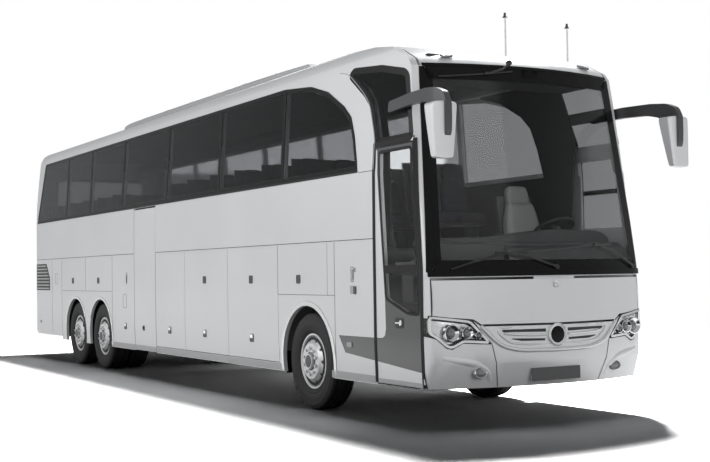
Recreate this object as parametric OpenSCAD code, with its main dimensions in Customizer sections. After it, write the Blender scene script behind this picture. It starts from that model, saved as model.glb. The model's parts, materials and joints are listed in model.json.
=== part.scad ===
// Three-axle high-deck touring coach. +X is the front, +Y the left side, +Z up.
// The origin is on the ground, midway between the tail and the foremost point of the mirrors.

/* [Body] */
// Length of the body from tail to nose
body_l = 14030; // [13000:10:15000]
// Width of the body over the side walls
body_w = 2550; // [2400:10:2700]
// Height of the roof crown above the ground
roof_h = 3815; // [3700:5:4100]
// Height of the roof pod's top above the ground
pod_h = 3905; // [3880:5:4300]
// Height of the lower edge of the side panels
skirt_h = 380; // [300:5:440]
// Height of the belt line, where the luggage flaps end
belt_h = 1790; // [1700:5:1850]
// Lower edge of the side window band
window_low = 2500; // [2400:5:2600]
// Upper edge of the side window band
window_high = 3560; // [3450:5:3620]
// How far the side glass leans in at its top
glass_lean = 76; // [40:1:100]
// Thickness of the side walls and the roof
wall_t = 60; // [40:1:80]
// Thickness of the lower panels and flaps
panel_t = 40; // [25:1:50]
// Joint between neighbouring fixed panels
seam = 0.4; // [0.2:0.1:0.8]
// Forward bow of the nose at its middle
nose_bow = 280; // [200:5:320]
// Plan radius of the body's corners
corner_r = 125; // [100:5:160]

/* [Floor] */
// Height of the passenger floor
floor_h = 1700; // [1660:5:1730]
// Thickness of the passenger floor
floor_t = 60; // [40:1:80]
// Height of the driver's platform
platform_h = 1150; // [1050:5:1250]
// Height of the luggage floor
bay_floor_h = 470; // [440:5:500]
// Thickness of the bulkheads and the luggage floor
plate_t = 30; // [20:1:40]

/* [Axles] */
// From the nose back to the front axle
front_overhang = 2690; // [2600:10:2800]
// From the front axle to the drive axle
wheelbase = 7300; // [7000:10:7600]
// From the drive axle to the tag axle
tag_gap = 1350; // [1300:5:1450]
// Tyre diameter
tyre_d = 1044; // [1000:2:1060]
// Tyre width
tyre_w = 298; // [270:1:310]
// Rim diameter at the bead seat
rim_d = 572; // [560:1:590]
// Rim width between the flanges
rim_w = 210; // [190:1:225]
// From the side wall's face in to the outer wheel's middle plane
wheel_inset = 189; // [180:1:230]
// Distance between the middle planes of twin tyres
twin_gap = 326; // [320:1:350]
// Room between the front tyres and their arches
arch_front_gap = 78; // [63:1:118]
// Room between the rear tyres and their arches
arch_rear_gap = 63; // [48:1:78]
// Distance of the kingpins from the middle
kingpin_y = 985; // [960:5:1000]
// Radius of the stub axles
stub_r = 50; // [40:1:60]
// Radius of the kingpins
kingpin_r = 25; // [20:1:30]
// Radius of the towing jaw's hole
tow_r = 20; // [15:1:25]
// Radial clearance of a shaft in its bearing
run_clear = 0.05; // [0.02:0.01:0.1]

/* [Doors and flaps] */
// From the front axle forward to the front door's rear edge
front_door_at = 1490; // [1450:10:1520]
// Width of the front doorway
front_door_w = 840; // [800:10:850]
// Height of the front doorway's top
front_door_top = 2700; // [2650:10:2750]
// From the drive axle forward to the middle door's rear edge
mid_door_at = 1650; // [1600:10:1700]
// Width of the middle doorway
mid_door_w = 920; // [860:10:930]
// Height of the middle doorway's top
mid_door_top = 2460; // [2400:10:2470]
// Gap round a door leaf
door_gap = 12; // [8:1:16]
// Length of the arms that carry a door leaf
door_arm = 500; // [450:10:510]
// From the leaf's inner face to the arm's pivot
door_reach = 70; // [60:5:90]
// Gap between a flap and its neighbours
flap_gap = 8; // [6:1:10]
// Gap between a flap's top and the panel above
hinge_gap = 18; // [17:1:22]
// Radius of the round bead on a flap's top edge
bead_r = 7; // [5:0.5:7]
// Radial clearance of the bead in its channel
bead_clear = 0.3; // [0.2:0.05:0.4]
// Height of the engine lid's top
engine_lid_top = 1700; // [1600:10:1750]
// Height of the engine lid's lower edge
engine_lid_low = 620; // [600:10:700]
// Width of the engine lid
engine_lid_w = 1900; // [1700:10:2000]

/* [Nose] */
// Lower edge of the windscreen
screen_low = 1440; // [1430:5:1460]
// Upper edge of the windscreen
screen_high = 3420; // [3380:5:3440]
// Width of the windscreen at its lower edge
screen_low_w = 2450; // [2400:10:2490]
// Width of the windscreen at its upper edge
screen_high_w = 2200; // [2100:10:2260]
// Thickness of the windscreen and window glass
glass_t = 16; // [10:1:20]
// Lower edge of the nose flap at the middle
flap_low = 975; // [966:1:984]
// Gap under the nose flap
flap_under = 20; // [18:1:24]
// Thickness of the nose flap
flap_t = 25; // [20:1:30]
// Width of the nose flap
flap_w = 2460; // [2400:10:2480]
// Lower edge of the grille at the middle
grille_low = 698; // [690:2:710]
// Lower edge of the bumper
bumper_low = 390; // [380:5:420]
// Width of the number plate pad
plate_w = 530; // [520:5:540]
// Height of the number plate pad
plate_h = 115; // [110:5:120]

/* [Mirrors] */
// How far the mirrors reach ahead of the nose
mirror_reach = 250; // [200:10:320]
// From the body side to the outer side of a mirror head
mirror_stand = 245; // [175:5:325]
// Lowest point of the mirror heads
mirror_low = 2460; // [2400:10:2500]
// Height of a mirror head
mirror_head_h = 510; // [450:10:560]
// Width of a mirror head
mirror_head_w = 300; // [260:5:340]

/* [Cabin] */
// Distance between seat rows
seat_pitch = 800; // [760:10:900]
// Number of seat rows
seat_rows = 14; // [10:1:14]
// Width of a double seat
seat_w = 880; // [840:10:920]
// Height of a seat back above the floor
seat_back_h = 1120; // [1050:10:1180]
// Diameter of the steering wheel
steering_d = 460; // [420:10:500]

/* [Hidden] */
$fn = 48;
x_tail = -(body_l + mirror_reach) / 2;
x_nose = x_tail + body_l;
half_w = body_w / 2;
axle_z = tyre_d / 2;
arch_front_r = axle_z + arch_front_gap;
arch_rear_r = axle_z + arch_rear_gap;
front_x = x_nose - front_overhang;
mirror_out = half_w + mirror_stand;
drive_x = front_x - wheelbase;
tag_x = drive_x - tag_gap;
wheel_y = half_w - wheel_inset;
far = 30000;

// Door openings and the panel joints between them
fd0 = front_x + front_door_at;
fd1 = fd0 + front_door_w;
md0 = drive_x + mid_door_at;
md1 = md0 + mid_door_w;
bay0 = md1;
bay1 = front_x - arch_front_r - 110;
flap_cuts = [bay0, bay0 + 1130, bay0 + 2580, bay1];
tail_cut = tag_x - 840;
rear_arch_end = drive_x + arch_rear_r + 35;
front_arch_end = front_x + arch_front_r + 50;
wall_x0 = x_tail + 210;
screen_lean = 9.5;
upper_low = mid_door_top + door_gap;
cant_h = roof_h - 195;
firewall_x = x_nose - 330;
bay_top = floor_h - floor_t;

// Window posts, counted back from the front axle
post_x = [for (d = [9250, 7880, 6230, 4310, 2450, 610]) front_x - d];
pane_start = front_x - 11130;
post_w = 90;

// Half width of the body's outer face at a height
function face_y(z) = lookup(z, [
    [skirt_h, half_w - 13], [skirt_h + 420, half_w], [belt_h, half_w],
    [window_low - 60, half_w - 5], [window_low, half_w - 12],
    [window_high, half_w - glass_lean - 2], [roof_h - 175, half_w - glass_lean - 14],
    [roof_h - 100, half_w - glass_lean - 41], [roof_h - 57, half_w - glass_lean - 94]]);
// Half width inside the lower panels
function inner_y(z) = face_y(z) - panel_t;
face_z = [skirt_h, skirt_h + 420, belt_h, window_low - 60, window_low, window_high,
    roof_h - 175, roof_h - 100, roof_h - 57];
roof_pts = [[half_w - glass_lean - 199, roof_h - 35], [half_w - glass_lean - 500, roof_h - 13], [0, roof_h]];

// Outline of one wall layer, between two depths under the outer face and two heights
function layer(d0, d1, z0, z1) = let (
    zs = concat([z0], [for (z = face_z) if (z > z0 && z < z1) z], [z1]),
    n = len(zs))
    concat([for (z = zs) [face_y(z) - d0, z]], [for (i = [n - 1:-1:0]) [face_y(zs[i]) - d1, zs[i]]]);

// Outline of one half of the whole section, at a depth under the face; the inner form runs out below
function half_section(d) = concat(
    [[0, skirt_h - (d > 0 ? 50 : 0)], [face_y(skirt_h) - d, skirt_h - (d > 0 ? 50 : 0)]],
    [for (z = face_z) [face_y(z) - d, z - (z > window_high ? d : 0)]],
    [for (p = roof_pts) [max(p[0] - d, 0), p[1] - d]]);

// Extrudes a (y, z) outline along X
module along_x(x0, x1) {
    translate([x0, 0, 0]) rotate([90, 0, 90]) linear_extrude(x1 - x0) children();
}

// Extrudes an (x, z) outline along Y
module along_y(y0, y1) {
    translate([0, y1, 0]) rotate([90, 0, 0]) linear_extrude(y1 - y0) children();
}

module block(x0, x1, y0, y1, z0, z1) {
    translate([x0, y0, z0]) cube([x1 - x0, y1 - y0, z1 - z0]);
}

// Cylinder along Y from y0 to y1
module rod_y(x, z, r, y0, y1) {
    translate([x, y1, z]) rotate([90, 0, 0]) cylinder(r = r, h = y1 - y0);
}

module rod_x(y, z, r, x0, x1) {
    translate([x0, y, z]) rotate([0, 90, 0]) cylinder(r = r, h = x1 - x0);
}

// One wall layer of the left side
module wall_layer(d0, d1, z0, z1, x0, x1) {
    along_x(x0, x1) polygon(layer(d0, d1, z0, z1));
}

// side is 1 for the left and -1 for the right
module on_side(side) {
    if (side > 0) children(); else mirror([0, 1, 0]) children();
}

// Plan outline of the nose: [distance behind the nose's tip, half width]; phase shifts its breaks
nose_turn = 2 * atan((nose_bow - 60) / (half_w - corner_r));
nose_flat = half_w + 3 - corner_r * (1 - sin(nose_turn));
nose_r = nose_flat / sin(nose_turn);
function nose_plan(phase) = concat(
    [for (i = [0:4]) let (y = nose_flat * (i + phase) / 5) [nose_r - sqrt(nose_r * nose_r - y * y), y]],
    [for (i = [0:3]) let (a = nose_turn + (90 - nose_turn) * (i + phase) / (3 + phase))
        [nose_r * (1 - cos(nose_turn)) + corner_r * (cos(nose_turn) - cos(a)),
            nose_flat + corner_r * (sin(a) - sin(nose_turn))]]);

// Everything behind the nose's face, which leans back by an angle from the point (x, z)
module nose_cut(lean, x, z, depth, phase) {
    plan = nose_plan(phase);
    n = len(plan);
    pts = concat(
        [for (i = [0:n - 1]) [-plan[i][0] * cos(lean) - depth, plan[i][1]]],
        [[-far, half_w + 3], [-far, -half_w - 3]],
        [for (i = [n - 1:-1:0]) [-plan[i][0] * cos(lean) - depth, -plan[i][1]]]);
    translate([x, 0, z]) rotate([0, -lean, 0]) translate([0, 0, -far]) linear_extrude(2 * far) polygon(pts);
}

// The nose's profile on the middle line, from the bumper up to the roof: [x, z]
nose_line = [[x_nose - 90, bumper_low], [x_nose - 5, 620], [x_nose, 1000], [x_nose - 15, screen_low],
    [x_nose - 15 - (screen_high - screen_low) * tan(screen_lean), screen_high]];
dome = [[nose_line[4][0], screen_high], [nose_line[4][0] - 60, screen_high + 75],
    [nose_line[4][0] - 210, screen_high + 150], [nose_line[4][0] - 520, screen_high + 225],
    [nose_line[4][0] - 980, screen_high + 295], [nose_line[4][0] - 1700, screen_high + 345],
    [nose_line[4][0] - 2900, roof_h]];

function lean_of(a, b) = atan2(a[0] - b[0], b[1] - a[1]);

module nose_face(i, depth) {
    nose_cut(lean_of(nose_line[i], nose_line[i + 1]), nose_line[i][0], nose_line[i][1], depth,
        i % 2 == 0 ? 0.33 : 0.66);
}

// Shell of the nose between two profile points
module nose_shell(i, d0, d1) {
    difference() {
        nose_face(i, d0);
        nose_face(i, d1);
    }
}

module section_bar(x0, x1, d) {
    along_x(x0, x1) polygon(half_section(d));
    mirror([0, 1, 0]) along_x(x0, x1) polygon(half_section(d));
}

// The windscreen's outline seen from ahead
module screen_shape(grow) {
    polygon([[-screen_low_w / 2 - grow, screen_low - grow], [screen_low_w / 2 + grow, screen_low - grow],
        [screen_high_w / 2 + grow, screen_high + grow], [-screen_high_w / 2 - grow, screen_high + grow]]);
}

// Line of the front pillar's rear edge: [x, z]
pillar = [[fd1, skirt_h], [fd1, 1500], [fd1 - 130, front_door_top], [fd1 - 250, screen_high]];

// Side profile of the dome over the windscreen, closed far behind and below
module dome_prism(d) {
    along_y(-far, far) polygon(concat([[-far, -far], [far, -far], [far, screen_high - d]],
        [for (p = dome) [p[0], p[1] - d]], [[-far, roof_h - d]]));
}

module front_limit(d) {
    intersection() {
        dome_prism(d);
        nose_face(3, d);
        nose_cut(lean_of(dome[0], dome[1]), dome[0][0], dome[0][1], d, 0.33);
        nose_cut(lean_of(dome[1], dome[2]), dome[1][0], dome[1][1], d, 0.66);
    }
}

// Plan and side profile of the tail
tail_half = concat([[0, 0], [8, 600], [18, 950]],
    [for (a = [15:25:90]) [30 + 150 * (1 - cos(a)), half_w - 150 + 150 * sin(a)]]);

module tail_limit(d) {
    n = len(tail_half);
    intersection() {
        translate([0, 0, -100]) linear_extrude(roof_h + 200) polygon(concat(
            [for (i = [n - 1:-1:0]) [x_tail + tail_half[i][0] + d, min(tail_half[i][1], half_w - d)]],
            [for (i = [1:n - 1]) [x_tail + tail_half[i][0] + d, -min(tail_half[i][1], half_w - d)]],
            [[far, d - half_w], [far, half_w - d]]));
        tail_profile(d);
    }
}

module tail_profile(d) {
    along_y(-far, far) polygon([[x_tail + 1750, skirt_h + d], [x_tail + 30 + d, skirt_h + 110 + d],
        [x_tail + d, 700], [x_tail + d, 1900], [x_tail + 60 + d, 2500], [x_tail + 130 + d, 3200],
        [x_tail + 200 + d, cant_h], [x_tail + 330, roof_h - 70 - d], [x_tail + 700, roof_h - 15 - d],
        [x_tail + 1100, roof_h - d], [far, roof_h - d], [far, skirt_h + d]]);
}

// The lower nose as one solid form
module nose_low(d) {
    intersection() {
        section_bar(x_nose - 900, x_nose + 100, d);
        nose_face(0, d);
        nose_face(1, d);
        nose_face(2, d);
    }
}

module nose_low_shell(t) {
    difference() {
        nose_low(0);
        nose_low(t);
    }
}

// Lines between the nose's panels seen from ahead, on the left half: [y, z]
flap_line = [[0, flap_low], [795, flap_low + 5], [868, flap_low + 53], [half_w + 10, flap_low + 91]];
lamp_line = [[half_w + 10, 1100], [943, 1100], [692, 793], [971, 812], [1000, 792], [1064, 757],
    [1116, 768], [1200, 850], [half_w + 10, 880]];
grille_line = [[878, 1100], [675, 793], [600, 755], [494, grille_low + 26], [300, grille_low + 8]];

// Everything under the flap's lower edge, dropped by a gap
module under_flap(drop) {
    n = len(flap_line);
    along_x(x_nose - 1000, x_nose + 100) polygon(concat(
        [[-half_w - 10, 0], [half_w + 10, 0]],
        [for (i = [n - 1:-1:0]) flap_line[i] - [0, drop]],
        [for (i = [1:n - 1]) [-flap_line[i][0], flap_line[i][1] - drop]]));
}

module lamp_zone() {
    for (side = [-1, 1]) on_side(side) along_x(x_nose - 1000, x_nose + 100) polygon(lamp_line);
}

module grille_zone() {
    along_x(x_nose - 1000, x_nose + 100) polygon(concat(grille_line,
        [for (i = [len(grille_line) - 1:-1:0]) [-grille_line[i][0], grille_line[i][1]]]));
}

// Window panes of one side: outline of the band and its posts, in (x, z)
band_front = [[-610, window_high], [50, window_high - 60], [450, window_high - 170],
    [820, window_high - 370], [980, window_low + 560], [1070, window_low + 350], [1150, window_low]];
slant = 360;

function band_pts(g) = concat([[pane_start + g, window_low + g], [pane_start + slant + g, window_high - g]],
    [for (p = band_front) [front_x + p[0] - (p[0] > 0 ? g : 0), p[1] - (p[1] > window_low ? g : -g)]]);
function quarter_pts(g) = [[front_x + 900 + 2 * g, window_high - 60 - g / 2], [front_x + 1240 + g, 3265 + g],
    [front_x + 1370 + g, 3140 + g / 2], [front_x + 1500 + g, 2790], [front_x + 1500 + g, front_door_top + 30 + g],
    [fd1 - 150 - g, front_door_top + 30 + g], [fd1 - 262 - g, 3340], [fd1 - 320 - g, 3390 - g],
    [front_x + 1560, window_high - 75 - g], [front_x + 950 + 2 * g, window_high - 20 - g]];
function driver_pts(g) = [[fd0 + 60 + g, belt_h + 70 + g], [fd0 + 60 + g, front_door_top - 50 - g],
    [fd1 - 175 - g, front_door_top - 50 - g], [fd1 - 70 - g, belt_h + 70 + g]];

module panes(side, t) {
    intersection() {
        along_x(wall_x0 - 50, x_nose) polygon(layer(-1, t, 1700, cant_h));
        along_y(0, half_w + 50) union() {
            polygon(band_pts(0));
            polygon(quarter_pts(0));
            if (side > 0) polygon(driver_pts(0));
        }
    }
}

module post_gaps(w) {
    for (x = post_x) block(x - w / 2, x + w / 2, 0, half_w + 50, window_low - 1, window_high + 1);
}

// The openings in the wall behind the panes
module wall_lights(side) {
    difference() {
        along_y(half_w - 300, half_w + 50) union() {
            polygon(band_pts(45));
            polygon(quarter_pts(40));
            if (side > 0) polygon(driver_pts(40));
        }
        post_gaps(post_w);
    }
}

// Cut in front of the front pillar's rear edge
module ahead_of_pillar(g) {
    along_y(0, half_w + 100) polygon(concat([[far, skirt_h - 100], [pillar[0][0] + g, skirt_h - 100]],
        [for (p = pillar) [p[0] + g, p[1]]], [[far, screen_high]]));
}

module arch_hole(x, r) {
    rod_y(x, axle_z, r, half_w - 300, half_w + 100);
}

// Bead channel along the lower edge of a panel above a flap
hinge_y = half_w - 8;
hinge_z = belt_h - 4;

module side_wall(side) {
    on_side(side) color("silver") {
        // window band up to the roof edge
        difference() {
            intersection() {
                wall_layer(0, wall_t, upper_low, cant_h, wall_x0, x_nose);
                front_limit(0);
                tail_profile(0);
            }
            panes(side, glass_t);
            wall_lights(side);
            ahead_of_pillar(-seam);
            if (side < 0) block(fd0, fd1 + 50, half_w - 100, half_w + 50, upper_low - 1, front_door_top);
            // joint over the front doorway's rear edge
            block(fd0 - seam, fd0, half_w - 200, half_w + 50, upper_low - 1, cant_h + 1);
        }
        // header over the front doorway carries the door column
        if (side < 0)
            block(front_col_x - 40, front_col_x + 40, door_col_y - 40, face_y(front_door_top) - wall_t - 2,
                front_door_top, front_door_top + 60);
        if (side < 0)
            block(mid_col_x - 40, mid_col_x + 40, door_col_y - 40, face_y(upper_low) - wall_t - 2,
                upper_low, upper_low + 40);
        // belt panels
        if (side > 0)
            belt_panel(side, wall_x0, fd1);
        else {
            belt_panel(side, wall_x0, md0);
            belt_panel(side, md1, fd0);
        }
        // fixed lower panels behind the middle door and round the wheels
        lower_panel(wall_x0, tail_cut, skirt_h + 60, belt_h - seam);
        difference() {
            union() {
                lower_panel(tail_cut + seam, tag_x - 490, skirt_h, belt_h - seam);
                lower_panel(tag_x - 490 + seam, rear_arch_end, skirt_h, belt_h - seam);
            }
            arch_hole(drive_x, arch_rear_r);
            arch_hole(tag_x, arch_rear_r);
        }
        lower_panel(rear_arch_end + seam, side < 0 ? md0 : bay0, skirt_h, belt_h - seam);
        difference() {
            lower_panel(bay1, front_arch_end, skirt_h, belt_h - seam);
            arch_hole(front_x, arch_front_r);
        }
        difference() {
            lower_panel(front_arch_end + seam, side < 0 ? fd0 : fd1, skirt_h, belt_h - seam);
            ahead_of_pillar(-seam);
        }
        // sill under the luggage flaps
        lower_panel(bay0 + seam, bay1 - seam, skirt_h, sill_h);
    }
}

// Panel between the belt line and the window band, with the rail that joins it to the floor
module belt_panel(side, x0, x1) {
    difference() {
        union() {
            wall_layer(0, panel_t, belt_h, upper_low - seam, x0, x1);
            if (x0 < front_arch_end) {
                rail_x1 = min(x1, front_arch_end);
                block(x0, rail_x1, bay_half - 40, bay_half, floor_h, belt_h + 60);
                block(x0, rail_x1, bay_half - 1, half_w - panel_t + 1, belt_h + flap_gap, belt_h + 60);
            }
        }
        if (side > 0) {
            panes(side, glass_t);
            wall_lights(side);
        }
        ahead_of_pillar(-seam);
        rod_x(hinge_y, hinge_z, bead_r + bead_clear, bay0 - 1, bay1 + 1);
    }
}

module lower_panel(x0, x1, z0, z1) {
    wall_layer(0, panel_t, z0, z1, x0, x1);
}

door_t = panel_t + 5;
door_col_y = half_w - door_t - door_reach;
front_col_x = fd1 - 190;
mid_col_x = md0 + 190;
bay_half = half_w - panel_t - flap_gap;
sill_h = bay_floor_h - 2;
step_edge = face_y(skirt_h) - door_t - door_gap / 2;
entry_h = skirt_h + 30;
rail_y = 400;
rail_w = 80;
rail_low = 760;
rail_high = 900;

module side_wall_right() side_wall(-1);
module side_wall_left() side_wall(1);

module rails(x0, x1, y) {
    block(x0, x1, y - rail_w / 2, y + rail_w / 2, rail_low, rail_high);
}

module cross_tube(x, y0, y1, z0, z1) {
    block(x - 30, x + 30, y0, y1, z0, z1);
}

module front_subframe() {
    color("dimgray") union() {
        rails(bay1 + plate_t, firewall_x, rail_y);
        rails(bay1 + plate_t, fd0 - plate_t, -rail_y);
        for (x = [front_x - 420, front_x + 420, fd0 - 100])
            cross_tube(x, -rail_y, rail_y, rail_low + 20, rail_high - 20);
        for (x = [front_arch_end + 200, fd0 - 100], y = [-rail_y, rail_y])
            cross_tube(x, y - 30, y + 30, rail_high - 1, platform_h - floor_t);
        // jacking pads
        for (y = [-rail_y, rail_y])
            block(front_x - 360, front_x - 240, y - 35, y + 35, rail_low - 20, rail_low + 1);
    }
}

module rear_subframe() {
    x0 = x_tail + 200;
    x1 = rear_arch_end;
    color("dimgray") union() {
        for (y = [-rail_y, rail_y]) {
            rails(x0, x1, y);
            for (x = [tag_x - 500, tag_x + tag_gap / 2, x1 - 60])
                cross_tube(x, y - 30, y + 30, rail_high - 1, bay_top);
        }
        for (x = [tag_x - 500, tag_x + tag_gap / 2, x1 - 60, x0 + 30])
            cross_tube(x, -rail_y, rail_y, rail_low + 20, rail_high - 20);
        // towing jaw at the tail
        difference() {
            block(tow_x - 50, x0 + 31, -60, 60, rail_low + 20, rail_high - 20);
            translate([tow_x, 0, rail_low]) cylinder(r = tow_r, h = rail_high - rail_low);
        }
    }
}

tow_x = x_tail + 150;

module luggage_floor() {
    w = inner_y(bay_floor_h - plate_t);
    color("gainsboro") {
        block(rear_arch_end, md0 - seam, -w, w, bay_floor_h - plate_t, bay_floor_h);
        block(md1, bay1 + plate_t, -w, w, bay_floor_h - plate_t, bay_floor_h);
    }
}

// A cross wall between two heights, a gap clear of the side panels
module cross_wall(x0, x1, y0, z0, z1, gap = 0) {
    bend_z = skirt_h + 420;
    along_x(x0, x1) polygon([[y0, z0], [inner_y(z0) - gap, z0], [inner_y(bend_z) - gap, bend_z],
        [inner_y(z1) - gap, z1], [y0, z1]]);
}

module bulkhead(x, z0 = bay_floor_h) {
    for (side = [-1, 1]) on_side(side) cross_wall(x, x + plate_t, 0, z0, bay_top, flap_gap);
}

module bulkheads() {
    color("lightgray") {
        bulkhead(rear_arch_end);
        bulkhead(md0 - plate_t - seam);
        bulkhead(md1 + seam);
        bulkhead(bay1);
        difference() {
            bulkhead(front_arch_end, skirt_h + 60);
            rails(bay1, firewall_x, rail_y);
            rails(bay1, firewall_x, -rail_y);
        }
    }
}

house_h = tyre_d + 136;

module wheel_house(x0, x1, y_in) {
    side_y = half_w - panel_t;
    block(x0, x1, y_in - plate_t, side_y, house_h, house_h + plate_t);
    block(x0, x1, y_in - plate_t, y_in, 700, house_h + 1);
}

module wheel_houses() {
    rear_x0 = tag_x - arch_rear_r - 55;
    color("dimgray") for (side = [-1, 1]) on_side(side) {
        wheel_house(bay1 + plate_t, front_arch_end, 570);
        wheel_house(rear_x0, rear_arch_end, 590);
        cross_wall(rear_x0 - plate_t - seam, rear_x0 - seam, 590, 440, house_h + plate_t, seam);
    }
}

module cabin_floor() {
    color("slategray") difference() {
        intersection() {
            block(x_tail, front_arch_end + plate_t, -bay_half, bay_half, bay_top, floor_h);
            tail_limit(wall_t + seam);
        }
        block(md0, md1, -half_w, mid_stair_end, bay_top - 1, floor_h + 1);
    }
}

mid_stair_end = 170;

module driver_platform() {
    w = half_w - panel_t;
    z0 = platform_h - floor_t;
    x0 = front_arch_end + plate_t;
    color("slategray") union() {
        block(x0, firewall_x, -330, w, z0, platform_h);
        block(x0, fd0 - plate_t, -w, -329, z0, platform_h);
    }
}

// A flight of steps going inwards from the right side
module flight(x0, x1, count, y_end, top) {
    rise = (top - entry_h) / count;
    tread = (step_edge + y_end) / count;
    block(x0, x1, -step_edge, -step_edge + tread - seam, entry_h - 30, entry_h);
    for (i = [1:count - 1])
        block(x0, x1, -step_edge + i * tread, -step_edge + (i + 1) * tread - seam,
            entry_h + (i - 1) * rise - (i == 1 ? 30 : 60), entry_h + i * rise);
}

module steps() {
    aisle = 330;
    color("dimgray") {
        flight(fd0 + seam, fd1 - seam, 4, -aisle, platform_h);
        on_side(-1) cross_wall(fd0 - plate_t, fd0, aisle + seam, skirt_h, platform_h - seam);
        intersection() {
            nose_low(panel_t + seam);
            block(fd1, firewall_x - seam, -half_w, -aisle - seam, skirt_h, platform_h - seam);
        }
        flight(md0 + seam, md1 - seam, 6, mid_stair_end, floor_h);
        for (i = [0, 1])
            block(front_arch_end + plate_t + i * 260 + seam, front_arch_end + plate_t + (i + 1) * 260,
                -aisle, aisle, platform_h, platform_h + (2 - i) * (floor_h - platform_h) / 3);
    }
}

// The roof skin with its front dome, and two aerials
module roof() {
    color("silver") union() {
        difference() {
            intersection() {
                section_bar(x_tail, x_nose, 0);
                front_limit(0);
                tail_profile(0);
            }
            intersection() {
                section_bar(x_tail - 10, x_nose + 10, wall_t);
                front_limit(wall_t);
                tail_profile(wall_t);
            }
            block(x_tail - 10, x_nose + 10, -half_w, half_w, 0, screen_high + seam);
            block(x_tail - 10, dome[3][0], -half_w, half_w, 0, cant_h + seam);
            for (side = [-1, 1]) on_side(side) {
                block(x_tail - 10, x_nose, roof_side_y, half_w + 1, 0, cant_h + seam);
            }
        }
        for (p = [[x_nose - 1040, 230, 3590, 4085], [x_nose - 1040, 1040, 3500, 4040]])
            translate([p[0], p[1], p[2]]) cylinder(r = 9, h = p[3] - p[2]);
    }
}

roof_side_y = half_w - glass_lean - wall_t - 20;

module nose_frame() {
    color("silver") {
        for (side = [-1, 1]) on_side(side) difference() {
            intersection() {
                difference() {
                    intersection() {
                        section_bar(x_nose - 900, x_nose, 0);
                        nose_face(3, 0);
                    }
                    intersection() {
                        section_bar(x_nose - 1000, x_nose + 1, wall_t);
                        nose_face(3, wall_t);
                    }
                }
                ahead_of_pillar(seam);
                block(x_nose - 900, x_nose, 200, half_w + 1, screen_low + seam, screen_high);
            }
            along_x(x_nose - 900, x_nose + 1) screen_shape(seam);
            // joint between the door pillar and the quarter pillar
            block(x_nose - 900, x_nose, 0, half_w + 1, front_door_top, front_door_top + seam);
        }
        difference() {
            intersection() {
                nose_low(0);
                block(firewall_x, x_nose + 1, -half_w, half_w, cowl_low, screen_low);
            }
            rod_y(nose_hinge_x, nose_hinge_z, bead_r + bead_clear, -nose_hinge_w - 5, nose_hinge_w + 5);
        }
        for (side = [-1, 1]) on_side(side) difference() {
            intersection() {
                nose_low_shell(panel_t);
                block(fd1, x_nose, flap_w / 2 + flap_gap, half_w + 1, flap_low, cowl_low - seam);
            }
            under_flap(flap_under - seam);
        }
        intersection() {
            nose_low(panel_t + seam);
            block(firewall_x, firewall_x + plate_t, -half_w, half_w, 480, cowl_low - seam);
        }
    }
}

cowl_low = screen_low - 28;
nose_hinge_x = x_nose - 35;
nose_hinge_z = cowl_low - 4;
nose_hinge_w = 240;
nose_flap_drop = 20;

// A flap's bead and the thin neck under it, along Y
module bead_y(x, z, w, drop) {
    rod_y(x, z, bead_r, -w, w);
    block(x - 3, x + 3, -w, w, z - drop - 1, z);
}

module nose_flap() {
    color("silver") union() {
        difference() {
            intersection() {
                nose_low_shell(flap_t);
                block(x_nose - 400, x_nose + 1, -flap_w / 2, flap_w / 2, flap_low - 1, nose_hinge_z - nose_flap_drop);
            }
            under_flap(0);
        }
        bead_y(nose_hinge_x, nose_hinge_z, nose_hinge_w, nose_flap_drop + 30);
        block(nose_hinge_x - 3, nose_hinge_x + 10, -nose_hinge_w, nose_hinge_w,
            nose_hinge_z - nose_flap_drop - 30, nose_hinge_z - nose_flap_drop);
    }
}

module windscreen() {
    color([0.1, 0.12, 0.13]) intersection() {
        nose_shell(3, 0, glass_t);
        section_bar(x_nose - 900, x_nose, 0);
        along_x(x_nose - 900, x_nose) screen_shape(0);
    }
}

module side_windows(side) {
    color([0.08, 0.09, 0.1]) on_side(side) difference() {
        panes(side, glass_t);
        post_gaps(6);
    }
}

module side_windows_right() side_windows(-1);
module side_windows_left() side_windows(1);

module tail_shell(t) {
    difference() {
        intersection() {
            section_bar(x_tail, wall_x0, 0);
            tail_limit(0);
        }
        intersection() {
            section_bar(x_tail - 1, wall_x0 + 1, t);
            tail_limit(t);
        }
    }
}

lid_hinge_x = x_tail + 18;
lid_hinge_z = engine_lid_top - 4;
lid_hinge_w = 600;
lid_drop = 22;
tail_lamp_y = engine_lid_w / 2 + 40;

module rear_light(g) {
    block(x_tail - 1, wall_x0 + 50, -880 + g, 880 - g, window_low + 60 + g, window_high - 220 - g);
}

module tail_lamp_zone(g) {
    for (side = [-1, 1]) on_side(side)
        block(x_tail - 1, x_tail + 120, tail_lamp_y - g, half_w - 60 + g, 760 - g, 1420 + g);
}

module rear_wall() {
    color("silver") difference() {
        tail_shell(wall_t);
        block(x_tail - 5, wall_x0 + 5, -half_w, half_w, 0, engine_lid_low - flap_gap);
        block(x_tail - 5, wall_x0 + 5, -half_w, half_w, cant_h, roof_h + 5);
        block(x_tail - 5, wall_x0 + 5, -engine_lid_w / 2 - flap_gap, engine_lid_w / 2 + flap_gap, 0, engine_lid_top);
        rod_y(lid_hinge_x, lid_hinge_z, bead_r + bead_clear, -lid_hinge_w - 5, lid_hinge_w + 5);
        rear_light(0);
        tail_lamp_zone(seam);
    }
}

module rear_window() {
    color([0.08, 0.09, 0.1]) intersection() {
        tail_shell(glass_t);
        rear_light(seam);
    }
}

module tail_lamps() {
    color("firebrick") intersection() {
        tail_shell(wall_t);
        tail_lamp_zone(0);
    }
}

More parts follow.
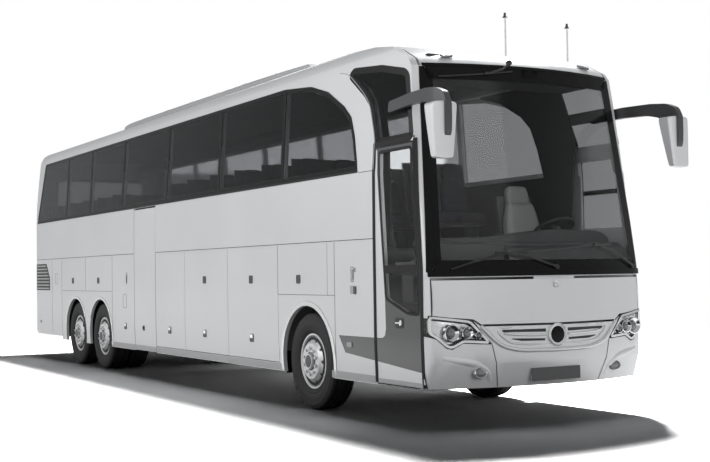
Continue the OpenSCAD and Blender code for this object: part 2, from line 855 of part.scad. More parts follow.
module rear_bumper() {
    color("silver") difference() {
        intersection() {
            tail_shell(panel_t);
            block(x_tail - 5, wall_x0 + 5, -half_w, half_w, skirt_h, engine_lid_low - flap_gap - seam);
        }
        // open underside
        block(x_tail + 70, wall_x0 + 6, -half_w + 170, half_w - 170, skirt_h - 1, skirt_h + 180);
    }
}

module engine_lid() {
    color("silver") union() {
        intersection() {
            tail_shell(panel_t);
            block(x_tail - 5, wall_x0 + 5, -engine_lid_w / 2, engine_lid_w / 2,
                engine_lid_low, lid_hinge_z - lid_drop);
        }
        bead_y(lid_hinge_x, lid_hinge_z, lid_hinge_w, lid_drop + 2);
    }
}

module engine() {
    color("dimgray") block(x_tail + 260, tag_x - 760, -(rail_y - rail_w / 2), rail_y - rail_w / 2, 480, 1320);
}

module front_bumper() {
    pad_z = 500;
    color("silver") union() {
        difference() {
            intersection() {
                nose_low_shell(panel_t);
                block(fd1, x_nose + 1, -half_w, half_w, bumper_low, 1100);
                under_flap(flap_under);
            }
            lamp_zone();
            grille_zone();
        }
        // flat pad for the number plate
        block(x_nose - 85, x_nose - 28, -plate_w / 2, plate_w / 2, pad_z - plate_h / 2, pad_z + plate_h / 2);
    }
}

module grille() {
    color("silver") difference() {
        intersection() {
            nose_low_shell(panel_t);
            grille_zone();
            under_flap(flap_under);
        }
        for (side = [-1, 1]) on_side(side)
            block(x_nose - 300, x_nose + 1, 130, 580, 900, 922);
    }
}

module headlamps() {
    color("lightgray") intersection() {
        nose_low_shell(panel_t);
        block(fd1, x_nose + 1, -half_w, half_w, bumper_low, 1100);
        under_flap(flap_under);
        lamp_zone();
    }
}

// One luggage flap with the bead along its top edge
module flap(side, i) {
    x0 = flap_cuts[i] + (i == 0 ? flap_gap : flap_gap / 2);
    x1 = flap_cuts[i + 1] - (i == 2 ? flap_gap : flap_gap / 2);
    color("silver") on_side(side) union() {
        lower_panel(x0, x1, bay_floor_h + 6, belt_h - hinge_gap);
        rod_x(hinge_y, hinge_z, bead_r, x0, x1);
        block(x0, x1, hinge_y - 3, hinge_y + 3, belt_h - hinge_gap - 1, hinge_z);
    }
}

module flap_right_1() flap(-1, 0);
module flap_right_2() flap(-1, 1);
module flap_right_3() flap(-1, 2);
module flap_left_1() flap(1, 0);
module flap_left_2() flap(1, 1);
module flap_left_3() flap(1, 2);

arm_t = 40;
pin_r = 12;
low_arm_z = 600;
high_arm_z = 1440;

// Door leaf outline in (x, z), shrunk by a gap all round
module front_leaf_shape(g) {
    polygon([[fd0 + g, skirt_h + g], [fd1 - g, skirt_h + g], [fd1 - g, 1500],
        [fd1 - 130 - g, front_door_top - g], [fd0 + g, front_door_top - g]]);
}

module leaf_bracket(x, z) {
    translate([x, -door_col_y, z]) {
        cylinder(r = pin_r, h = arm_t + 6);
        translate([-30, -(door_reach + 1), arm_t + 5]) cube([60, door_reach + 26, 20]);
    }
}

module front_door() {
    color("silver") union() {
        mirror([0, 1, 0]) intersection() {
            along_x(fd0, fd1) polygon(layer(0, door_t, skirt_h, front_door_top));
            along_y(0, half_w + 50) front_leaf_shape(door_gap);
        }
        for (z = [low_arm_z, high_arm_z]) leaf_bracket(front_col_x - door_arm, z);
    }
}

module mid_door() {
    color("silver") union() {
        mirror([0, 1, 0])
            along_x(md0 + door_gap, md1 - door_gap)
                polygon(layer(0, door_t, skirt_h + door_gap, mid_door_top - door_gap));
        for (z = [low_arm_z, high_arm_z]) leaf_bracket(mid_col_x + door_arm, z);
    }
}

// Column with two arms; dir is -1 when the arms lie rearward at rest
module door_arms(x, top, dir) {
    color("dimgray") difference() {
        union() {
            translate([x, -door_col_y, entry_h + 0.3]) cylinder(r = 22, h = top - entry_h - 0.6);
            for (z = [low_arm_z, high_arm_z]) {
                translate([min(x, x + dir * door_arm), -door_col_y - 18, z]) cube([door_arm, 36, arm_t]);
                translate([x + dir * door_arm, -door_col_y, z]) cylinder(r = 24, h = arm_t);
            }
        }
        for (z = [low_arm_z, high_arm_z])
            translate([x + dir * door_arm, -door_col_y, z - 1])
                cylinder(r = pin_r + run_clear, h = arm_t + 2);
    }
}

module front_door_arms() door_arms(front_col_x, front_door_top, -1);
module mid_door_arms() door_arms(mid_col_x, upper_low, 1);

// Axles
eye_in = 60;
eye_out = 130;

module front_axle() {
    color("dimgray") difference() {
        union() {
            block(front_x - 60, front_x + 60, -(kingpin_y - 120), kingpin_y - 120, axle_z - 60, axle_z + 60);
            for (side = [-1, 1]) on_side(side) {
                block(front_x - 50, front_x + 50, kingpin_y - 150, kingpin_y - 100, axle_z - eye_out, axle_z + eye_out);
                for (z = [axle_z + eye_in, axle_z - eye_out]) {
                    block(front_x - 50, front_x + 50, kingpin_y - 101, kingpin_y, z, z + eye_out - eye_in);
                    translate([front_x, kingpin_y, z]) cylinder(r = 50, h = eye_out - eye_in);
                }
                block(front_x - 60, front_x + 60, rail_y - 50, rail_y + 50, axle_z + 59, rail_low);
            }
        }
        for (side = [-1, 1])
            translate([front_x, side * kingpin_y, axle_z - 200]) cylinder(r = kingpin_r + run_clear, h = 400);
    }
}

module knuckle(side) {
    color("gray") on_side(side) union() {
        translate([front_x, kingpin_y, axle_z - eye_out]) cylinder(r = kingpin_r, h = 2 * eye_out);
        translate([front_x, kingpin_y, axle_z - eye_in + 5]) cylinder(r = 50, h = 2 * eye_in - 10);
        rod_y(front_x, axle_z, stub_r, kingpin_y, wheel_y + 154);
    }
}

module knuckle_left() knuckle(1);
module knuckle_right() knuckle(-1);

module fixed_axle(x, reach) {
    color("dimgray") union() {
        rod_y(x, axle_z, 85, -reach, reach);
        rod_y(x, axle_z, stub_r, -(wheel_y + 154), wheel_y + 154);
        for (side = [-1, 1]) on_side(side)
            block(x - 60, x + 60, rail_y - 50, rail_y + 50, axle_z + 40, rail_low);
    }
}

module drive_axle() {
    fixed_axle(drive_x, wheel_y - twin_gap - 175);
    color("dimgray") translate([drive_x, 0, axle_z]) sphere(r = 210);
}

module tag_axle() fixed_axle(tag_x, wheel_y - 175);

// Turns a profile of (radius, distance outward) round a wheel's axle
module turned(x, y) {
    translate([x, y, axle_z]) rotate([-90, 0, 0]) rotate_extrude($fn = 96) children();
}

rim_r = rim_d / 2;
tyre_r = tyre_d / 2;
half_t = tyre_w / 2;
half_rim = rim_w / 2;
bolt_face = 149;

module tyre_profile() {
    half = [[rim_r + 0.4, half_rim - 1], [rim_r + 14, half_rim - 1], [rim_r + 22, half_rim + 16],
        [rim_r + 55, half_t - 10], [rim_r + 115, half_t], [tyre_r - 62, half_t - 5], [tyre_r - 18, half_t - 18],
        [tyre_r - 4, half_t - 34], [tyre_r, half_t - 56]];
    polygon(concat(half, [for (i = [len(half) - 1:-1:0]) [half[i][0], -half[i][1]]]));
}

module tyre(x, side, twin = false) {
    color([0.12, 0.12, 0.12]) on_side(side) {
        turned(x, wheel_y) tyre_profile();
        if (twin) turned(x, wheel_y - twin_gap) tyre_profile();
    }
}

module tyre_front_left() tyre(front_x, 1);
module tyre_front_right() tyre(front_x, -1);
module tyre_drive_left() tyre(drive_x, 1, true);
module tyre_drive_right() tyre(drive_x, -1, true);
module tyre_tag_left() tyre(tag_x, 1);
module tyre_tag_right() tyre(tag_x, -1);

module barrel_profile() {
    polygon([[rim_r - 12, -half_rim], [rim_r - 12, half_rim], [rim_r - 4, half_rim + 12], [rim_r + 12, half_rim + 12],
        [rim_r + 12, half_rim], [rim_r, half_rim], [rim_r, -half_rim], [rim_r + 12, -half_rim],
        [rim_r + 12, -half_rim - 12], [rim_r - 4, -half_rim - 12]]);
}

module rim(x, side, twin = false) {
    hub_in = twin ? twin_gap + 160 : 25;
    color("lightgray") on_side(side) difference() {
        union() {
            turned(x, wheel_y) union() {
                barrel_profile();
                // hub, bolt face and dished disc
                polygon([[stub_r + run_clear, -hub_in], [95, -hub_in], [95, bolt_face - 15], [185, bolt_face - 15],
                    [rim_r - 11, 55], [rim_r - 11, 72], [192, bolt_face], [80, bolt_face], [80, bolt_face + 30],
                    [0, bolt_face + 30], [0, bolt_face + 11], [stub_r + run_clear, bolt_face + 11]]);
            }
            if (twin) turned(x, wheel_y - twin_gap) union() {
                barrel_profile();
                translate([94, 70]) square([rim_r - 11 - 94, 15]);
            }
            for (a = [18:36:342])
                translate([x, wheel_y + bolt_face - 1, axle_z]) rotate([-90, 0, 0]) rotate([0, 0, a])
                    translate([140, 0, 0]) cylinder(r = 17, h = 26, $fn = 6);
        }
        for (a = [0:36:324])
            translate([x, wheel_y + 40, axle_z]) rotate([-90, 0, 0]) rotate([0, 0, a])
                translate([232, 0, 0]) cylinder(r = 21, h = 120);
    }
}

module rim_front_left() rim(front_x, 1);
module rim_front_right() rim(front_x, -1);
module rim_drive_left() rim(drive_x, 1, true);
module rim_drive_right() rim(drive_x, -1, true);
module rim_tag_left() rim(tag_x, 1);
module rim_tag_right() rim(tag_x, -1);

// Mirror head on a gooseneck arm from the front quarter
module mirror_arm(side) {
    head_y = mirror_out - mirror_head_w;
    x0 = x_nose + mirror_reach - 190;
    top = mirror_low + mirror_head_h;
    root = [x_nose - 920, face_y(2980) + 2.4, 2990];
    head_mid = mirror_out - mirror_head_w / 2;
    knee = [x_nose + 60, head_mid, 3130];
    tip = [x_nose + 160, head_mid + 10, top + 20];
    on_side(side) {
        color("dimgray") {
            hull() {
                translate(root) rotate([0, 90, 0]) cylinder(r = 2, h = 120, $fn = 16);
                translate(root + [0, 0, 60]) rotate([0, 90, 0]) cylinder(r = 2, h = 120, $fn = 16);
                translate(knee) sphere(r = 45, $fn = 20);
            }
            hull() {
                translate(knee) sphere(r = 45, $fn = 20);
                translate(tip) sphere(r = 40, $fn = 20);
            }
        }
        color("silver") hull() {
            for (y = [head_y + 45, mirror_out - 45])
                translate([x0 + 145, y, mirror_low]) cylinder(r = 45, h = mirror_head_h, $fn = 24);
            translate([x0, head_y + 10, mirror_low + 15]) cube([10, mirror_head_w - 20, mirror_head_h - 30]);
        }
    }
}

module mirror_left() mirror_arm(1);
module mirror_right() mirror_arm(-1);

// A strip that lies along the windscreen's face
module on_screen(y0, y1, z0, z1) {
    intersection() {
        nose_shell(3, -30, 0);
        block(x_nose - 900, x_nose + 100, y0, y1, z0, z1);
    }
}

module wipers() {
    color([0.1, 0.1, 0.1]) {
        for (y = [-1080, 160]) union() {
            on_screen(y, y + 900, screen_low + 55, screen_low + 85);
            on_screen(y + 860, y + 900, screen_low + seam, screen_low + 56);
        }
        union() {
            on_screen(-900, -150, screen_high - 130, screen_high - 105);
            on_screen(-190, -150, screen_high - 106, screen_high + 30);
        }
    }
}

dash_h = 1740;
wheel_lean = 28;

module at_steering_wheel() {
    translate([firewall_x - 520, 650, dash_h + 150]) rotate([0, -wheel_lean, 0]) children();
}

// Dashboard with its foot; the steering column enters it
module dashboard() {
    color([0.15, 0.15, 0.16]) difference() {
        union() {
            along_y(-300, 1150) polygon([[firewall_x, 1300], [firewall_x, screen_low + seam],
                [firewall_x + 20, screen_low + 40], [firewall_x - 20, dash_h - 60], [firewall_x - 120, dash_h],
                [firewall_x - 330, dash_h - 50], [firewall_x - 350, 1450], [firewall_x - 200, 1290]]);
            block(firewall_x - 160, firewall_x, 420, 880, platform_h, 1310);
        }
        block(firewall_x - 0.3, x_nose, -half_w, half_w, 1200, screen_low + seam / 2);
        at_steering_wheel() translate([0, 0, -column_l - 1]) cylinder(r = column_r + seam, h = column_l);
    }
}

column_l = 420;
column_r = 35;

module steering_wheel() {
    color([0.1, 0.1, 0.1]) at_steering_wheel() {
        rotate_extrude() translate([steering_d / 2 - 16, 0]) circle(r = 16, $fn = 24);
        translate([0, 0, -60]) cylinder(r = 70, h = 75);
        for (a = [0, 120, 240]) rotate([0, 0, a]) translate([0, -18, -8]) cube([steering_d / 2 - 16, 36, 16]);
        translate([0, 0, -column_l]) cylinder(r = column_r, h = column_l - 40);
    }
}

// A seat seen from the side, facing +X, from the floor up: [x, z]
module seat(x, y0, y1, z, back_h) {
    along_y(y0, y1) polygon([[x + 60, z], [x + 400, z], [x + 400, z + 300], [x + 500, z + 330], [x + 500, z + 450],
        [x + 120, z + 430], [x, z + back_h], [x - 90, z + back_h], [x, z + 330], [x + 60, z + 300]]);
}

module crew_seats() {
    color("dimgray") {
        seat(firewall_x - 1230, 400, 900, platform_h, 1180);
        seat(firewall_x - 1580, -1130, -660, platform_h, 1080);
    }
}

module passenger_seats() {
    y0 = 290;
    color("slategray") for (i = [0:seat_rows - 1]) {
        x = x_tail + 480 + i * seat_pitch;
        seat(x, y0, y0 + seat_w, floor_h, seat_back_h);
        if (x + 560 < md0 || x - 150 > md1) seat(x, -y0 - seat_w, -y0, floor_h, seat_back_h);
    }
}

module roof_pod() {
    x0 = drive_x + 400;
    x1 = front_x - 350;
    color("darkgray") difference() {
        intersection() {
            along_y(-1000, 1000) polygon([[x0, roof_h - 60], [x0 + 50, pod_h - 65], [x0 + 350, pod_h - 20],
                [x0 + 2000, pod_h], [x1 - 2200, pod_h - 15], [x1 - 100, pod_h - 60], [x1, roof_h - 60]]);
            along_x(x0 - 1, x1 + 1) polygon([[-1000, roof_h - 100], [-1000, pod_h - 50], [-940, pod_h - 12],
                [-700, pod_h], [700, pod_h], [940, pod_h - 12], [1000, pod_h - 50], [1000, roof_h - 100]]);
        }
        section_bar(x0 - 100, x1 + 100, 0);
    }
}

front_subframe();
rear_subframe();
luggage_floor();
bulkheads();
wheel_houses();
cabin_floor();
driver_platform();
steps();
side_wall_right();
side_wall_left();
roof();
nose_frame();
rear_wall();
windscreen();
side_windows_right();
side_windows_left();
rear_window();
front_bumper();
grille();
headlamps();
nose_flap();
rear_bumper();
tail_lamps();
engine_lid();
engine();
front_axle();
drive_axle();
tag_axle();
knuckle_left();
knuckle_right();
tyre_front_left();
tyre_front_right();
tyre_drive_left();
tyre_drive_right();
tyre_tag_left();
tyre_tag_right();
rim_front_left();
rim_front_right();
rim_drive_left();
rim_drive_right();
rim_tag_left();
rim_tag_right();
mirror_left();
mirror_right();
wipers();
dashboard();
steering_wheel();
crew_seats();
passenger_seats();
roof_pod();
flap_right_1();
flap_right_2();
flap_right_3();
flap_left_1();
flap_left_2();
flap_left_3();
front_door();
front_door_arms();
mid_door();
mid_door_arms();
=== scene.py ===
import json
import math
import bmesh
import bpy
from mathutils import Matrix, Vector
from mathutils.bvhtree import BVHTree

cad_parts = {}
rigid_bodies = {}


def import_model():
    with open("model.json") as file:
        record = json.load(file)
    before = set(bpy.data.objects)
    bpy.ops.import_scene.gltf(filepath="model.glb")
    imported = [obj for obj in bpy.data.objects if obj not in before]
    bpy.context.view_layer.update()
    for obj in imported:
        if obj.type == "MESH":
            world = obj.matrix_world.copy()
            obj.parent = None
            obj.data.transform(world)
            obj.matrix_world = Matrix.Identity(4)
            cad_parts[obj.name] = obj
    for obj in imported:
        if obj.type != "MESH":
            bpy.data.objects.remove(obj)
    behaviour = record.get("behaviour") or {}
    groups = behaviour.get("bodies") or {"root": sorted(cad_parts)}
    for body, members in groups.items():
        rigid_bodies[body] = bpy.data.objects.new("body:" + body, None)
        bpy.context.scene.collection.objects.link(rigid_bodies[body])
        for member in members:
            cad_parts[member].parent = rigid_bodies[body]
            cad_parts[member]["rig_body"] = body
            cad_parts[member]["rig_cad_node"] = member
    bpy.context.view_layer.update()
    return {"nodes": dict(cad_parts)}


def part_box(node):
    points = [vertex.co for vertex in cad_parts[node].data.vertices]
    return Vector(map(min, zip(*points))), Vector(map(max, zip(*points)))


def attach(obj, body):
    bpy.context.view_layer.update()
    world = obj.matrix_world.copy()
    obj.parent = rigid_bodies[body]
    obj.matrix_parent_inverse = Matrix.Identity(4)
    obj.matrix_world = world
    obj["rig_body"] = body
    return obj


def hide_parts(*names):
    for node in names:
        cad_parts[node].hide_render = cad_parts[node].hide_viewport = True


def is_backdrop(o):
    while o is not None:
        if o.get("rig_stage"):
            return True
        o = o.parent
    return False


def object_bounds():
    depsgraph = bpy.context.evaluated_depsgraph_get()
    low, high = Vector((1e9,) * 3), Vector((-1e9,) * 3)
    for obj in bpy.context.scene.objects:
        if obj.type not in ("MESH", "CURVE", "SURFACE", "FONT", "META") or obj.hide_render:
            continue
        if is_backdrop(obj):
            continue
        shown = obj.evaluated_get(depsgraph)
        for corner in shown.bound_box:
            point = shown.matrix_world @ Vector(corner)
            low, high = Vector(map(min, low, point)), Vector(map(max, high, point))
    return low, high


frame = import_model()

# Camera: it stands ahead of the coach on its door side, at chest height, a little turned down
# on one side, and takes in the whole length of the body.
look_from = Vector((16.080, -7.299, 1.468))
yaw, pitch, roll = (math.radians(a) for a in (150.807, 1.963, -0.863))
ahead = Vector((math.cos(yaw) * math.cos(pitch), math.sin(yaw) * math.cos(pitch), math.sin(pitch)))
level = ahead.cross(Vector((0, 0, 1))).normalized()
upright = level.cross(ahead)
across = level * math.cos(roll) + upright * math.sin(roll)
upward = upright * math.cos(roll) - level * math.sin(roll)
bpy.ops.object.camera_add(location=look_from)
camera = bpy.context.object
camera.matrix_world = Matrix.Translation(look_from) @ Matrix((across, upward, -ahead)).transposed().to_4x4()
camera.data.lens = 62.24
camera.data.sensor_width = 36
camera.data.clip_end = 200
bpy.context.scene.camera = camera


# Studio: a pale floor under soft lamps. The floor shows white to the camera, darkens where the
# coach shades it, and has a lamp of its own; the other lamps light the coach alone.
def alone(piece):
    if bpy.context.object and bpy.context.object.mode != "OBJECT":
        bpy.ops.object.mode_set(mode="OBJECT")
    bpy.ops.object.select_all(action="DESELECT")
    piece.select_set(True)
    bpy.context.view_layer.objects.active = piece


def soft_lamp(name, place, aim, size, power):
    bpy.ops.object.light_add(type="AREA", location=place)
    lamp = bpy.context.object
    lamp.name = name
    lamp.data.size = size
    lamp.data.energy = power
    lamp.rotation_euler = (Vector(aim) - Vector(place)).to_track_quat("-Z", "Y").to_euler()


def feed(tree, node, feeds):
    """Gives a node's inputs their values; a value may be another node's output."""
    for key, value in feeds.items():
        if isinstance(value, bpy.types.NodeSocket):
            tree.links.new(value, node.inputs[key])
        else:
            node.inputs[key].default_value = value


def add_node(tree, kind, feeds, **settings):
    node = tree.nodes.new("ShaderNode" + kind)
    for key, value in settings.items():
        setattr(node, key, value)
    feed(tree, node, feeds)
    return node


soft_lamp("key_lamp", (8, -19, 12), (1, 0, 1.8), 12, 1900)
soft_lamp("front_lamp", (23, 1, 8), (6, 0, 1.6), 12, 1750)
soft_lamp("side_lamp", (-12, -19, 9), (-3, 0, 1.8), 11, 1150)
soft_lamp("top_lamp", (-2, 9, 15), (0.5, 0, 0.5), 4, 1500)
soft_lamp("floor_lamp", (-3, 4.5, 19), (0.5, 0, 0.5), 3.2, 22000)
soft_lamp("back_lamp", (-18, 10, 9), (0, 0, 1.5), 9, 800)

world = bpy.data.worlds.new("studio_air")
bpy.context.scene.world = world
world.use_nodes = True
air = world.node_tree
air.nodes.clear()
sight = add_node(air, "LightPath", {})
seen = add_node(air, "Math", {0: sight.outputs["Is Glossy Ray"], 1: 0.42, 2: 0.02}, operation="MULTIPLY_ADD")
clear = add_node(air, "Math", {0: sight.outputs["Is Camera Ray"], 1: sight.outputs["Is Transmission Ray"]},
                 operation="MAXIMUM")
dim = add_node(air, "Background", {"Color": (0.96, 0.98, 1.0, 1), "Strength": seen.outputs[0]})
bright = add_node(air, "Background", {"Color": (1, 1, 1, 1), "Strength": 1.0})
blend_air = add_node(air, "MixShader", {0: clear.outputs[0], 1: dim.outputs[0], 2: bright.outputs[0]})
add_node(air, "OutputWorld", {"Surface": blend_air.outputs[0]})
bpy.context.scene.view_settings.view_transform = "Standard"

bpy.ops.mesh.primitive_plane_add(size=180, location=(0, 0, 0))
floor = bpy.context.object
floor.name = "studio_floor"
floor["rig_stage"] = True
floor_finish = bpy.data.materials.new("floor_white")
floor_finish.use_nodes = True
ground = floor_finish.node_tree
ground.nodes.clear()
floor_sight = add_node(ground, "LightPath", {})
floor_tint = add_node(ground, "Mix", {}, data_type="RGBA")
feed(ground, floor_tint, {"A": (0.35, 0.35, 0.35, 1), "B": (1.9, 1.9, 1.9, 1),
                          "Factor": floor_sight.outputs["Is Camera Ray"]})
floor_near = add_node(ground, "BsdfDiffuse", {"Color": floor_tint.outputs["Result"]})
floor_far = add_node(ground, "Emission", {"Color": (1, 1, 1, 1), "Strength": 1})
floor_place = add_node(ground, "TexCoord", {})
floor_reach = add_node(ground, "VectorMath", {0: floor_place.outputs["Object"]}, operation="LENGTH")
floor_fade = add_node(ground, "MapRange", {"From Min": 9.0, "From Max": 15.0,
                                           "Value": floor_reach.outputs["Value"]})
floor_blend = add_node(ground, "MixShader", {0: floor_fade.outputs["Result"], 1: floor_near.outputs[0],
                                             2: floor_far.outputs[0]})
add_node(ground, "OutputMaterial", {"Surface": floor_blend.outputs[0]})
floor.data.materials.append(floor_finish)
coach_only = bpy.data.collections.new("coach_only")
coach_only.objects.link(floor)
coach_only.collection_objects[0].light_linking.link_state = "EXCLUDE"
floor_only = bpy.data.collections.new("floor_only")
floor_only.objects.link(floor)
for name in ("key_lamp", "front_lamp", "side_lamp", "back_lamp", "top_lamp"):
    bpy.data.objects[name].light_linking.receiver_collection = coach_only
bpy.data.objects["front_lamp"].visible_glossy = False
bpy.data.objects["floor_lamp"].light_linking.receiver_collection = floor_only


# Painted skin: the walls, roof, nose, tail, flaps and lids are folded sheet in a pale metallic silver
# under clear lacquer. Their edges are rolled, and a fine open joint runs round each panel.
def coating(name, dark, light, grain, rough, metal=0.0, relief=0.0, coat=0.0, patch=0.8):
    made = bpy.data.materials.new(name)
    made.use_nodes = True
    tree = made.node_tree
    place = add_node(tree, "TexCoord", {}).outputs["Object"]
    fine = add_node(tree, "TexNoise", {"Scale": grain, "Detail": 4, "Vector": place}).outputs["Fac"]
    broad = add_node(tree, "TexNoise", {"Scale": patch, "Detail": 3, "Vector": place}).outputs["Fac"]
    part = add_node(tree, "Math", {0: broad, 1: 0.4}, operation="MULTIPLY").outputs[0]
    both = add_node(tree, "Math", {0: fine, 1: 0.6, 2: part}, operation="MULTIPLY_ADD").outputs[0]
    tint = add_node(tree, "ValToRGB", {"Fac": both})
    tint.color_ramp.elements[0].position = 0.3
    tint.color_ramp.elements[0].color = (*dark, 1)
    tint.color_ramp.elements[1].position = 0.7
    tint.color_ramp.elements[1].color = (*light, 1)
    sheen = add_node(tree, "MapRange", {"Value": both, "To Min": max(rough - 0.06, 0.02),
                                       "To Max": rough + 0.06})
    skin = tree.nodes["Principled BSDF"]
    feed(tree, skin, {"Metallic": metal, "Coat Weight": coat, "Coat Roughness": 0.06,
                      "Base Color": tint.outputs["Color"], "Roughness": sheen.outputs["Result"]})
    if relief:
        bump = add_node(tree, "Bump", {"Strength": relief, "Distance": 0.002, "Height": fine})
        feed(tree, skin, {"Normal": bump.outputs["Normal"]})
    return made


def settle(piece):
    """Applies every modifier, smooths the round stretches and rests the piece at the origin."""
    alone(piece)
    for modifier in list(piece.modifiers):
        bpy.ops.object.modifier_apply(modifier=modifier.name)
    bpy.ops.object.transform_apply()
    bpy.ops.object.shade_smooth_by_angle(angle=math.radians(34))
    even = piece.modifiers.new("even", "WEIGHTED_NORMAL")
    even.keep_sharp = True
    bpy.ops.object.modifier_apply(modifier="even")


def roll_edges(piece, width, steps=2, above=32):
    rolled = piece.modifiers.new("rolled_edge", "BEVEL")
    rolled.width = width
    rolled.segments = steps
    rolled.limit_method = "ANGLE"
    rolled.angle_limit = math.radians(above)
    rolled.use_clamp_overlap = True


def joins(piece, finish, body="coach_body"):
    piece.data.materials.clear()
    piece.data.materials.append(finish)
    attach(piece, body)


def edit_all():
    bpy.ops.object.mode_set(mode="EDIT")
    bpy.ops.mesh.select_all(action="SELECT")


def close_form():
    """Turns every face outward and leaves the mesh."""
    bpy.ops.mesh.select_all(action="SELECT")
    bpy.ops.mesh.normals_make_consistent(inside=False)
    bpy.ops.object.mode_set(mode="OBJECT")


def face_of(points, name="form"):
    """One flat face with a corner at each point."""
    bpy.ops.mesh.primitive_circle_add(vertices=len(points), fill_type="NGON")
    piece = bpy.context.object
    piece.name = name
    for vert, point in zip(piece.data.vertices, points):
        vert.co = point
    return piece


def bar_of(points, push, name="form"):
    """A closed form: a flat face at the points, drawn out by a push."""
    piece = face_of(points, name)
    edit_all()
    bpy.ops.mesh.extrude_region_move(TRANSFORM_OT_translate={"value": push})
    close_form()
    return piece


def cut_across(axis, places):
    """Cuts the open mesh across an axis at each place."""
    for where in places:
        place, normal = [0, 0, 0], [0, 0, 0]
        place[axis], normal[axis] = where, 1
        bpy.ops.mesh.select_all(action="SELECT")
        bpy.ops.mesh.bisect(plane_co=place, plane_no=normal)


def sheet_copy(node, name, edge):
    """A new piece with a CAD node's own form, whose sharp edges are rolled."""
    alone(frame["nodes"][node])
    bpy.ops.object.duplicate()
    piece = bpy.context.object
    piece.name = name
    world_place = piece.matrix_world.copy()
    piece.parent = None
    piece.matrix_world = world_place
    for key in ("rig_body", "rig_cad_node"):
        del piece[key]
    edit_all()
    bpy.ops.mesh.remove_doubles(threshold=0.00002)
    bpy.ops.mesh.dissolve_limited(angle_limit=math.radians(0.4))
    bpy.ops.object.mode_set(mode="OBJECT")
    if edge:
        roll_edges(piece, edge)
    return piece


def body_of(node):
    return frame["nodes"][node]["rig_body"]


def cut_from(piece, cutter):
    """Takes a cutter's form out of a piece and throws the cutter away."""
    cut = piece.modifiers.new("cut", "BOOLEAN")
    cut.operation = "DIFFERENCE"
    cut.solver = "EXACT"
    cut.object = cutter
    alone(piece)
    bpy.ops.object.modifier_apply(modifier="cut")
    bpy.data.objects.remove(cutter)


def one_piece(name, parts):
    """Joins several made parts into one piece."""
    alone(parts[0])
    for part in parts:
        part.select_set(True)
    if len(parts) > 1:
        bpy.ops.object.join()
    bpy.context.object.name = name
    return bpy.context.object


def made_for(node, name, edge, finish):
    """A finished piece with a CAD node's own form, which stands for that node."""
    made = sheet_copy(node, name, edge)
    settle(made)
    joins(made, finish, body_of(node))
    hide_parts(node)


def set_of(name, parts, finish, body="coach_body", edge=0, steps=2):
    """Several parts as one finished piece; with an edge, that is rolled after they are joined."""
    made = one_piece(name, parts)
    if edge:
        roll_edges(made, edge, steps)
        settle(made)
    joins(made, finish, body)
    return made


half_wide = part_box("side_wall_left")[1][1]
tail_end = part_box("rear_wall")[0][0]
nose_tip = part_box("nose_flap")[1][0]
silver = coating("silver_lacquer", (0.545, 0.55, 0.56), (0.615, 0.62, 0.63), 900, 0.40, 0.3, 0.02, 0.15)
skins = ["side_wall_right", "side_wall_left", "roof", "nose_frame", "rear_wall", "front_bumper", "grille",
         "nose_flap", "rear_bumper", "engine_lid", "mid_door"]
skins += [f"flap_{side}_{i}" for side in ("right", "left") for i in (1, 2, 3)]
for node in skins:
    made_for(node, f"{node}_skin", 0.003, silver)


# Panel joints: an open joint a few millimetres wide, filled with dark sealant, crosses the fixed
# panels over the wheels and beside the engine. Sheets and strips lie where a line from outside
# first meets the skin.
skin_tree_mesh = bmesh.new()
for node in skins + ["front_door", "side_windows_right", "side_windows_left", "windscreen",
                     "rear_window", "headlamps", "tail_lamps", "roof_pod"]:
    skin_tree_mesh.from_mesh(frame["nodes"][node].data)
skin_tree = BVHTree.FromBMesh(skin_tree_mesh)
skin_tree_mesh.free()
to_left, to_right = Vector((0, 1, 0)), Vector((0, -1, 0))
to_tail, to_nose, downward = Vector((-1, 0, 0)), Vector((1, 0, 0)), Vector((0, 0, -1))
into = {-1: to_left, 1: to_right}
sides = ((-1, "right"), (1, "left"))


def meet(point, inward, lift=0.0):
    """The place where a line from outside first meets the skin near a point."""
    start = Vector(point) - inward * (Vector(point).dot(inward) + 12)
    near = 24.0
    beside = 0.012
    axes = (Vector((beside, 0, 0)), Vector((0, beside, 0)), Vector((0, 0, beside)))
    one, two = (axis for axis in axes if abs(inward.dot(axis)) < beside / 2)
    for shift in (Vector(), one, -one, two, -two):
        _, _, _, far = skin_tree.ray_cast(start + shift, inward, 24)
        if far:
            near = min(near, far)
    if near == 24.0:
        near = 12 - (half_wide if abs(inward.y) > 0.5 else nose_tip)
    return start + inward * (near - lift)


def on_side(points, side):
    return [(x, 2 * side, z) for x, z in points]


def on_end(x, points, side=1):
    return [Vector((x, y * side, z)) for y, z in points]


def box_on_end(x, y0, y1, z0, z1, turn, side=1):
    return rounded(on_end(x, ((y0, z0), (y1, z0), (y1, z1), (y0, z1)), side), turn)


def rounded(points, radius, closed=True, steps=4):
    """A line whose corners are turned round, starting a radius before each."""
    out = []
    for i, point in enumerate(points):
        if not closed and i in (0, len(points) - 1):
            out.append(Vector(point))
            continue
        here, before, after = (Vector(points[j % len(points)]) for j in (i, i - 1, i + 1))
        one = here + (before - here).normalized() * min(radius, (before - here).length * 0.45)
        two = here + (after - here).normalized() * min(radius, (after - here).length * 0.45)
        for k in range(steps + 1):
            t = k / steps
            out.append(one * (1 - t) ** 2 + here * 2 * t * (1 - t) + two * t * t)
    return out


